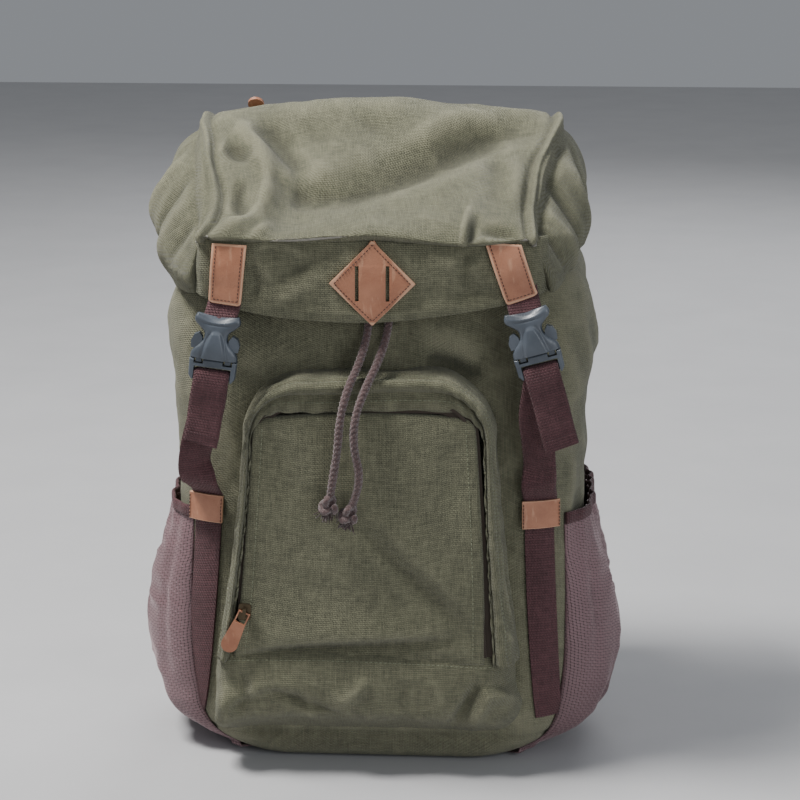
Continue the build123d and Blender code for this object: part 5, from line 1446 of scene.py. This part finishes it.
def housing(name):
    """The buckle's housing: rounded oblong sections down its length, wide at the horns and the mouth and drawn in
    at the waist, with a dip in its top edge, a raised tongue in front, and a hollow that goes back up from the
    mouth."""
    outside = np.linspace(0, housing_down[-1], housing_rows)
    down = np.concatenate([outside, cavity_down])
    half = np.concatenate([through(housing_down, housing_half, outside)[:, 0], cavity_half])[:, None]
    deep = np.concatenate([through(housing_down, housing_deep, outside)[:, 0], cavity_deep])[:, None]
    angle = np.linspace(0, 2 * np.pi, housing_columns, endpoint=False)[None, :]
    wide = np.sign(np.cos(angle)) * np.abs(np.cos(angle)) ** 0.62
    thick = np.sign(np.sin(angle)) * np.abs(np.sin(angle)) ** 0.5
    across, out, down = half * wide, deep * thick, down[:, None] + 0 * angle
    outer = (np.arange(len(down)) < housing_rows)[:, None]
    front = np.clip(thick * 4, 0, 1) * outer
    tongue = 8.6 * np.sqrt(rise(down, 9.5, 21.5))
    shown = rise(down, 10.5, 3)
    out = out + front * shown * fall(np.abs(across), tongue, 1.4)
    out = out - front * shown * 0.7 * bell(np.abs(across) - tongue - 0.9, 0.8)
    out = out - front * 1.1 * bell(down - 5.4, 2.2) * np.clip(1 - (across / 15) ** 2, 0, 1)
    gap_shade = 4.4 * np.clip(1 - (across / 13.5) ** 2, 0, 1) * np.clip(1 - down / 8, 0, 1) * outer
    return closed_piece(
        f"buckle_housing_{name}", on_buckle(name, across, down + gap_shade, out), slate_plastic, "lid",
        on_buckle(name, 0.0, 15.0, 0.0),
    )


for name in buckle_tops:
    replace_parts(housing(name), f"buckle_female_{name}")
finish_nodes(
    slate_plastic,
    *[f"buckle_male_{side}" for side in ("left", "right")],
    *[f"prong_{side}_{place}" for side in ("left", "right") for place in ("outer", "inner")],
    "strap_ladders", "cord_lock_body", "cord_lock_plunger",
)


def brushed(name, colour, rough):
    """Plated metal with fine rubbed marks in its shine."""
    material, wires, shader = new_material(name, Metallic=1.0)
    mark = wires.noise(wires.stretch(wires.place(), (1, 1, 0.2)), 700.0, 3.0)
    wires.join(shader["Base Color"], wires.mix(mark, dim(colour, 0.7), colour))
    wires.join(shader["Roughness"], wires.span(mark, 0.3, 0.7, rough, rough + 0.2))
    return material


antique_brass = brushed("antique_brass", (0.30, 0.22, 0.13, 1), 0.28)
dark_bronze = brushed("dark_bronze", (0.11, 0.085, 0.055, 1), 0.4)
finish_nodes(antique_brass, "collar_eyelets")
finish_nodes(dark_bronze, "pocket_zip_slider", "lid_zip_slider")
finish_nodes(tan_leather, "pocket_zip_pull", "lid_zip_pull")

# ---- drawcord ----
# Soft wine-coloured braid, 6 mm thick, in a hem round the bag's mouth. Both ends come out of the cord lock, fall
# over the bag's edge and the pocket, and stop in an overhand knot with a frayed tip.
cord_diameter = 6.0
left_route = [
    (-0.001, -0.0652, 0.3886), (-0.0015, -0.077, 0.3881), (-0.002, -0.090, 0.3796), (-0.003, -0.0965, 0.3636),
    (-0.004, -0.099, 0.3446), (-0.005, -0.101, 0.3246), (-0.010, -0.111, 0.3066), (-0.018, -0.121, 0.2896),
    (-0.023, -0.1255, 0.2696), (-0.0245, -0.126, 0.2476), (-0.0275, -0.1253, 0.2296), (-0.030, -0.125, 0.2136),
]
right_route = [
    (0.007, -0.0652, 0.3886), (0.0074, -0.077, 0.3882), (0.008, -0.090, 0.3796), (0.009, -0.0965, 0.3636),
    (0.010, -0.099, 0.3446), (0.009, -0.101, 0.3256), (0.003, -0.111, 0.3076), (-0.006, -0.121, 0.2896),
    (-0.013, -0.126, 0.2696), (-0.0135, -0.127, 0.2496), (-0.0095, -0.1255, 0.2326), (-0.0105, -0.125, 0.2186),
    (-0.015, -0.1245, 0.2066),
]
left_length, right_length = 0.2027, 0.2114
braid_strands, braid_lead = 4, 15.0
fibre_count = 44


def smooth_path(name, route, closed=False):
    """Points, in millimetres, along a NURBS spline that has the route as its control points."""
    curve = bpy.data.curves.new(name, "CURVE")
    curve.dimensions, curve.resolution_u = "3D", 24
    spline = curve.splines.new("NURBS")
    spline.points.add(len(route) - 1)
    for point, place in zip(spline.points, route):
        point.co = (*place, 1)
    spline.order_u = 3
    spline.use_cyclic_u, spline.use_endpoint_u = closed, not closed
    holder = add_object(name, curve)
    line = bpy.data.meshes.new_from_object(holder)
    path = np.array([v.co for v in line.vertices]) / mm
    bpy.data.objects.remove(holder)
    bpy.data.meshes.remove(line)
    bpy.data.curves.remove(curve)
    return path


def even(path, step):
    """The same line with points at equal steps."""
    far = lengths(path, 0)
    at = np.linspace(0, far[-1], max(int(far[-1] / step), 4) + 1)
    return read_line(at, far, path), at


def frames(path):
    """Two unit directions across a path that turn with it as little as they can."""
    way = unit(np.gradient(path, axis=0))
    across = [unit(np.cross(way[0], [0.3, 1.0, 0.2]))]
    for tangent in way[1:]:
        across.append(unit(across[-1] - tangent * across[-1].dot(tangent)))
    across = np.array(across)
    return across, np.cross(way, across)


def braid(name, path, radius, body, columns=28, step=0.5):
    """A round braid along a path: strands wind both ways round it, and each passes over and under the others, so
    its radius swells where a strand is on top."""
    path, at = even(path, step)
    first, second = frames(path)
    angle = np.linspace(0, 2 * np.pi, columns, endpoint=False)[None, :]
    one = braid_strands * (angle / (2 * np.pi) + at[:, None] / braid_lead)
    two = braid_strands * (angle / (2 * np.pi) - at[:, None] / braid_lead)
    over = (np.floor(one) + np.floor(two)) % 2
    bump_one, bump_two = np.abs(np.sin(np.pi * one)), np.abs(np.sin(np.pi * two))
    bump = np.where(over < 0.5, bump_one * (0.55 + 0.45 * bump_two), bump_two * (0.55 + 0.45 * bump_one))
    loose = 1 + 0.03 * np.sin(at * 0.21)[:, None]
    size = radius * (0.78 + 0.26 * bump) * loose
    side_part, up_part = (np.cos(angle) * size)[..., None], (np.sin(angle) * size)[..., None]
    shape = path[:, None] + first[:, None] * side_part + second[:, None] * up_part
    return closed_piece(name, shape, cord_braid, body, path[len(path) // 2], 1.4)


def round_sections(path, angle, size):
    """Round sections across a path: a point at each angle, at a distance of size from the path."""
    first, second = frames(path)
    return path[:, None] + (first[:, None] * np.cos(angle)[:, None] + second[:, None] * np.sin(angle)[:, None]) * size


cord_braid = woven(
    "wine_braid", (0.034, 0.014, 0.013, 1), (0.100, 0.049, 0.046, 1), (0.16, 0.092, 0.088, 1),
    0.0006, 0.0009, 0.0003, 0.75, 0.3, 1.0, 0.4,
)


def overhand_knot(name, end, way, size, seed, body):
    """A knot as a three-lobed closed curve, x = sin t + 2 sin 2t, y = cos t - 2 cos 2t, z = -sin 3t, opened at one
    side, and a tuft of frayed fibres that spreads out below it."""
    chance = np.random.default_rng(seed)
    t = np.linspace(0.35, 2 * np.pi + 0.1, 60)
    lobe = np.stack([np.sin(t) + 2 * np.sin(2 * t), np.cos(t) - 2 * np.cos(2 * t), -1.15 * np.sin(3 * t)], -1)
    down = unit(np.array(way))
    side_way = unit(np.cross(down, [0.0, 1.0, 0.15]))
    depth_way = np.cross(side_way, down)
    middle = np.array(end) + down * size * 0.8
    path = (
        middle
        + side_way * lobe[:, :1] * size * 0.21
        + down * lobe[:, 1:2] * size * 0.25
        + depth_way * lobe[:, 2:] * size * 0.26
    )
    knot = braid(name, path, cord_diameter * 0.45, body, columns=20, step=0.6)
    points, faces = [], []
    turn = np.arange(4) * np.pi / 2
    for _ in range(fibre_count):
        lean = chance.normal(0, 0.30, 2)
        start = middle + down * size * 0.5 + side_way * chance.normal(0, 2.0) + depth_way * chance.normal(0, 1.5)
        long = chance.uniform(4.5, 8.0)
        s = np.linspace(0, 1, 7)[:, None]
        curl = chance.normal(0, 1.0, 2)
        line = (
            start + down * s * long + side_way * (s * long * lean[0] + curl[0] * s**2)
            + depth_way * (s * long * lean[1] + curl[1] * s**2)
        )
        faces += spindle_faces(len(points) * len(line) * 4, len(line), 4)
        thin = np.linspace(0.5, 0.28, len(line))[:, None, None]
        points.append(round_sections(line, turn, thin).reshape(-1, 3))
    tuft = make_mesh(f"{name}_tuft", np.concatenate(points), faces, cord_braid, body)
    return knot, tuft


cord_radius = cord_diameter / 2
for name, route, length, seed in (("left", left_route, left_length, 81), ("right", right_route, right_length, 82)):
    path = smooth_path(f"route_{name}", route)
    cord = braid(f"drawcord_{name}_braid", path, cord_radius, "bag")
    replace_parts(cord, f"drawcord_{name}")
    knot, tuft = overhand_knot(f"knot_{name}", path[-1], path[-1] - path[-6], 8.2, seed, "bag")
    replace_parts(knot, f"cord_knot_{name}")

hem_low, hem_high = (np.array(corner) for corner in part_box("drawcord_loop"))
hem_middle, hem_half = (hem_low + hem_high) / 2, (hem_high - hem_low) / 2 - cord_radius * mm
turn = np.linspace(0, 2 * np.pi, 25)[:-1] - np.pi / 2 + 0.14
hem_route = [
    (
        hem_middle[0] + hem_half[0] * np.sign(np.cos(a)) * abs(np.cos(a)) ** 0.8,
        hem_middle[1] + hem_half[1] * np.sign(np.sin(a)) * abs(np.sin(a)) ** 0.8,
        hem_middle[2],
    )
    for a in turn
]
hem_cord = braid("drawcord_hem", smooth_path("hem_route", hem_route, True), cord_radius * 0.96, "bag", step=0.8)
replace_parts(hem_cord, "drawcord_loop")

# ---- cord lock spring ----
# A coil of brass wire in the lock's bore, between the end of the bore and the plunger. It closes up as the plunger
# is pressed in.
spring_wire, spring_turns, spring_points = 0.7, 3.5, 150


def tube(name, path, radius, material, body, columns=20):
    """A round tube along a path; the radius may change along it."""
    angle = np.linspace(0, 2 * np.pi, columns, endpoint=False)
    shape = round_sections(path, angle, np.broadcast_to(radius, len(path))[:, None, None])
    return closed_piece(name, shape, material, body, path[len(path) // 2], 0.3)


spring_low, spring_high = (np.array(corner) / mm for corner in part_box("cord_lock_spring"))
spring_middle = (spring_low + spring_high) / 2
spring_reach = (spring_high[2] - spring_low[2] - spring_wire) / 2
turn = np.linspace(0, spring_turns * 2 * np.pi, spring_points)
spring_line = np.stack([
    np.linspace(spring_low[0] + spring_wire / 2, spring_high[0] - spring_wire / 2, spring_points),
    spring_middle[1] + spring_reach * np.cos(turn),
    spring_middle[2] + spring_reach * np.sin(turn),
], -1)
spring = tube("cord_lock_coil", spring_line, spring_wire / 2, antique_brass, "bag", columns=10)
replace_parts(spring, "cord_lock_spring")
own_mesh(spring)

# ---- lid: back strip ----
# The back panel's canvas goes on above the mouth to the lid's seam. It is the lid's hinge, so it bends there.
strip_net = [
    [(-112, 79.6, 366), (-60, 80.4, 366), (-6, 80.6, 366), (52, 80.4, 366), (110, 79.6, 366)],
    [(-116, 79.0, 385), (-60, 80.2, 385), (-6, 80.4, 385), (52, 80.2, 385), (110, 79.0, 385)],
    [(-120, 80.0, 408), (-60, 80.4, 410), (-6, 80.6, 410), (52, 80.4, 410), (110, 80.0, 408)],
    [(-122, 82.5, 428), (-60, 83.4, 429), (-6, 83.6, 429), (52, 83.4, 429), (110, 82.5, 428)],
    [(-121, 85.6, 438), (-60, 86.8, 438.5), (-6, 87.0, 438.5), (52, 86.8, 438.5), (109, 85.6, 438)],
]
strip = net(strip_net, 46, 120)
x, z = strip[..., 0], strip[..., 2]
calm = rise(np.abs(x), 78, 20)
ruffle = np.sin(x / 5.0 + np.sin(x / 17)) * rise(z, 380, 40)
strip[..., 1] += calm * (crumple(x, z, 91, 30, 1.4) + ruffle) * 0.8
back_strip = grid_piece("lid_back_strip", strip, canvas, "bag", (0, 0, 400), wall=1.2)
back_strip.parent = None
del back_strip["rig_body"]
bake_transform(back_strip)

# ---- back yoke and back pad ----
# The yoke is a stiff quilted canvas panel that takes the straps and the handle. Below it a foam pad under wine
# netting lies against the wearer, sewn through in long channels so that air can pass.
yoke_low, yoke_high, yoke_half = 340.0, 430.0, 72.0
pad_low, pad_high, pad_half = 45.0, 337.0, 80.0
back_plane = 80.3


def round_ends(low, high, half, corner, steps):
    """Heights from low to high, and the half width at each, drawn in to a quarter circle at both ends."""
    z = np.concatenate([
        low + corner * (1 - np.cos(np.linspace(0, np.pi / 2, 5))),
        np.linspace(low + corner, high - corner, steps)[1:-1],
        high - corner * (1 - np.cos(np.linspace(np.pi / 2, 0, 5))),
    ])
    gap = np.clip(corner - np.minimum(z - low, high - z), 0, None)
    return z, half - corner + np.sqrt(np.clip(corner**2 - gap**2, 0, None))


def yoke_quilt(across, along, side):
    """Two sewn rectangles, one inside the other."""
    edge = np.minimum(yoke_half - np.abs(across), np.minimum(along, yoke_high - yoke_low - along))
    return np.where(side > 0, -0.8 * (bell(edge - 6, 1.2) + bell(edge - 22, 1.2)), 0.0)


def pad_quilt(across, along, side):
    """Channels down the pad: a deep one in the middle and two shallow ones at each side, closed near its ends."""
    inside = rise(along, 22, 10) * fall(along, pad_high - pad_low - 22, 10)
    channels = 5.0 * bell(across, 7.0)
    for place in (-48, -25, 25, 48):
        channels = channels + 3.0 * bell(across - place, 3.2)
    small = crumple(across, along, 93, 26, 0.6)
    return np.where(side > 0, -channels * inside + small, 0.0)


z, half = round_ends(yoke_low, yoke_high, yoke_half, 12.0, 14)
yoke_wall = [1.5, 2.4, 3.4, 3.8] + [3.9] * (len(z) - 8) + [3.8, 3.4, 2.4, 1.5]
yoke, *_ = ribbon(
    "back_yoke_cloth", [(0, back_plane + 1.9, h) for h in z], [180] * len(z), 2 * half, yoke_wall,
    canvas, "bag", rows=70, count=70, crown=9, quilt=yoke_quilt,
)
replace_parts(yoke, "back_yoke")
z, half = round_ends(pad_low, pad_high, pad_half, 22.0, 22)
pad_wall = np.concatenate([[3, 8, 11, 12.6], np.full(len(z) - 8, 13.4), [12.6, 11, 8, 3]])
back_pad, *_ = ribbon(
    "back_pad_cloth", [(0, back_plane + w / 2, h) for w, h in zip(pad_wall, z)], [180] * len(z), 2 * half, pad_wall,
    wine_mesh, "bag", rows=190, count=110, crown=7, quilt=pad_quilt,
)
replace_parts(back_pad, "back_pad")

# ---- shoulder straps ----
# Curved foam straps in canvas, bound with webbing tape along both edges, with a strip of webbing down the middle
# that carries the load to the ladder lock.
strap_side = [
    (90.4, 371), (96.5, 358), (108.2, 342), (120, 318), (129.5, 285), (131.8, 250), (131.6, 218), (127.5, 186),
    (119.5, 156), (111.5, 132), (104.5, 109),
]
strap_middle = [41.5, 42, 43, 44, 47.5, 52.5, 60, 70, 79, 87, 94]
strap_widths = [57, 58, 58.5, 59, 60, 60.5, 60, 56, 49, 41, 34.5]
strap_walls = [5.5, 9.5, 11, 11.4, 11.4, 11.4, 11.4, 11.2, 10.4, 8.5, 4.6]
strap_rows, strap_row_out = 150, 22
lower_route = [
    (99, 108.9, 77), (98.7, 109.1, 82), (98.5, 108.2, 87), (98.4, 104.2, 89.4), (98.5, 100.2, 87),
    (98.9, 99.2, 81), (101.5, 97.0, 70), (105.5, 91.0, 54), (109.3, 85.6, 40), (111, 84.3, 29),
]
tab_net = [
    [(97, 82.4, 42), (111, 82.6, 42.5), (125, 79.0, 41)],
    [(103, 82.2, 27), (114, 81.6, 26), (126.4, 76.6, 25)],
    [(112, 80.6, 13), (119, 78.2, 12), (127, 73.0, 12)],
]


def mirrored(side, places):
    """Places on the right of the bag, for its left side or its right side."""
    return [(side * px, py, pz) for px, py, pz in places]


def strap_quilt(across, along, side):
    """A sewn line inside each edge, fine pulls along it, and slight creases where the strap bends."""
    edge_line = bell(np.abs(across) - strap_row_out, 1.6)
    return -1.1 * edge_line + crumple(across, along, 95, 34, 0.8) - 0.3 * np.sin(along / 3.2) * edge_line


for side, name in both_sides:
    path = mirrored(side, [(px, py, pz) for px, (py, pz) in zip(strap_middle, strap_side)])
    strap, centre, across, thick = ribbon(
        f"shoulder_strap_{name}_cloth", path, [180] * len(path), strap_widths, strap_walls, canvas, "bag",
        rows=strap_rows, count=52, crown=5, quilt=strap_quilt,
    )
    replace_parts(strap, f"shoulder_strap_{name}")
    keys, share = np.linspace(0, 1, len(path)), np.linspace(0, 1, strap_rows)
    half, wall = through(keys, strap_widths, share) / 2, through(keys, strap_walls, share)
    for edge in (-1, 1):
        line = (centre + across * edge * (half - 0.6))[::6]
        ribbon(
            f"strap_binding_{name}_{'outer' if edge * side < 0 else 'inner'}", line, [180] * len(line), 5.0,
            np.clip(wall[::6, 0] * 0.34, 2.4, 4.2), wine_webbing, "bag", rows=120, count=7, crown=3,
        )
    outside = thick * np.sign(thick[len(thick) // 2][1])
    run = (centre + outside * (wall / 2 + 0.5))[8:146:6]
    _, centre, across, thick = ribbon(
        f"strap_webbing_{name}", run, [180] * len(run), 24.0, 1.7, wine_webbing, "bag", rows=110
    )
    way = (thick * np.sign(thick[55][1]))[2:-2]
    lines = [(centre[2:-2] + across[2:-2] * edge + way, way) for edge in (-9.8, 9.8)]
    stitches(f"strap_stitches_{name}", lines, webbing_thread, "bag", 3.0, 2.2, 0.3)
    lower_strap, *_ = ribbon(
        f"lower_webbing_{name}_cloth", mirrored(side, lower_route), [180] * len(lower_route), 24.0, strap_wall,
        wine_webbing, "bag", rows=90,
    )
    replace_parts(lower_strap, f"lower_webbing_{name}")
    tab = net([mirrored(side, row) for row in tab_net], 24, 24)
    corner_tab = grid_piece(f"corner_tab_{name}", tab, wine_webbing, "bag", (0, 0, 30), wall=1.6)
    if side < 0:
        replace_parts(corner_tab, "corner_tabs")

# ---- grab handle ----
# Webbing rolled round a cord. Its ends are sewn into two leather tabs on the yoke, and it hangs a little outward.
handle_place, handle_droop, handle_end = (90.8, 402.0), np.radians(25), 40
tab_half, tab_row_half, tab_face = (9.0, 13.0), (7.2, 11.2), 86.0
handle_shape = [
    (-40, 0), (-40, 12), (-39.4, 21), (-34, 26.8), (-24, 28), (0, 28.2),
    (24, 28), (34, 26.8), (39.4, 21), (40, 12), (40, 0),
]
handle_points = [
    (px, handle_place[0] + r * np.cos(handle_droop), handle_place[1] - r * np.sin(handle_droop))
    for px, r in handle_shape
]
handle_rows = 110
line = through(
    np.arange(len(handle_points)), handle_points, np.linspace(0, len(handle_points) - 1, handle_rows)
)
share = np.linspace(-1, 1, handle_rows)
handle_radius = 4.4 - 0.8 * np.abs(share) ** 8 + 0.12 * np.sin(share * 60)
handle = tube("grab_handle_webbing", line, handle_radius, wine_webbing, "handle")
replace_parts(handle, "grab_handle")
for side, name in both_sides:
    pin = np.array([(side * px, *handle_place) for px in np.linspace(34.2, 45.8, 14)])
    tube(f"handle_end_{name}", pin, [3.4] + [4.4] * 12 + [3.4], wine_webbing, "handle")
    s, t = np.meshgrid(np.linspace(-1, 1, 22), np.linspace(-1, 1, 26))
    tab_x = side * handle_end + tab_half[0] * s
    tab_y = tab_face - 0.5 * rise(np.maximum(np.abs(s), np.abs(t)), 0.9, 0.1)
    tab = np.stack([tab_x, tab_y, handle_place[1] + tab_half[1] * t], -1)
    tab = grid_piece(f"handle_tab_{name}", tab, tan_leather, "bag", (0, 0, 402), wall=1.6)
    if side < 0:
        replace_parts(tab, "handle_tabs")
    turn = np.linspace(0, 2 * np.pi, 90)
    box = np.stack([np.cos(turn), np.sin(turn)], -1)
    box = box / np.maximum(np.abs(box).max(1, keepdims=True), 1e-9)
    row_x, row_z = side * handle_end + tab_row_half[0] * box[:, 0], handle_place[1] + tab_row_half[1] * box[:, 1]
    row = flat_row(np.stack([row_x, np.full(90, tab_face + 0.2), row_z], -1), (0.0, 1.0, 0.0))
    stitches(f"handle_stitches_{name}", [row], leather_thread, "bag", 2.4, 1.7, 0.28)

# ---- zips ----
# Woven tape with a nylon coil. The lid's zip is set into the slope behind the ridge.
zip_tape_cloth = woven(
    "brown_zip_tape", (0.030, 0.022, 0.016, 1), (0.085, 0.062, 0.046, 1), (0.12, 0.09, 0.07, 1),
    0.0006, 0.0006, 0.0002, 0.75, 0.2, 0.5, 0.1,
)
finish_nodes(zip_tape_cloth, "pocket_zip_tape")
lid_way = facings(lid, (-6, -10, 385))
zip_start, zip_end = 97, 187
tape_rows, tape_columns = 12, 150
rows_of_tape, columns_of_tape = np.meshgrid(
    np.linspace(8.5, 20.5, tape_rows), np.linspace(zip_start, zip_end, tape_columns), indexing="ij"
)
place, way = on_grid(lid, lid_way, rows_of_tape.ravel(), columns_of_tape.ravel())
tape = smooth_rows((place + way * 0.55).reshape(tape_rows, tape_columns, 3), 4)
lid_tape = grid_piece(
    "lid_zip_tape_cloth", tape, zip_tape_cloth, "lid", (-6, -10, 385), wall=0.8, weight=0.1
)
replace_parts(lid_tape, "lid_zip_tape")
middle = tape[5:7].mean(0)
way = way.reshape(tape_rows, tape_columns, 3)[5]
coil_lines = [(middle + way * 0.3 + np.array([0, 0.5 * k, 0.9 * k]), way) for k in (-1, 1)]
coil_plastic = moulded("coil_plastic", (0.045, 0.034, 0.026, 1), (0.075, 0.058, 0.045, 1), 0.35)
stitches("lid_zip_coil", coil_lines, coil_plastic, "lid", 1.5, 1.5, 0.62)
lid_zip_lines = [on_grid(lid, lid_way, row, np.linspace(zip_start, zip_end, 160)) for row in (6.0, 21.8)]
stitches("lid_zip_stitches", lid_zip_lines, canvas_thread, "lid")

# ---- back piping ----
# A thin cord in canvas is sewn into the seams between the sides and the back.
piping_low, piping_high, piping_radius = 10, 364, 2.0
for column, name in ((42, "left"), (222, "right")):
    low = np.interp(piping_low, bag_level[:100], np.arange(100))
    high = np.interp(piping_high, bag_level[:110], np.arange(110))
    place, way = on_grid(bag, bag_out, np.linspace(low, high, 150), column)
    place = np.pad(place, [(4, 4), (0, 0)], mode="edge")
    place = np.stack([np.convolve(column_values, np.ones(9) / 9, "valid") for column_values in place.T], -1)
    tube(f"back_piping_{name}", place + way * 0.9, piping_radius, canvas, "bag", columns=12)
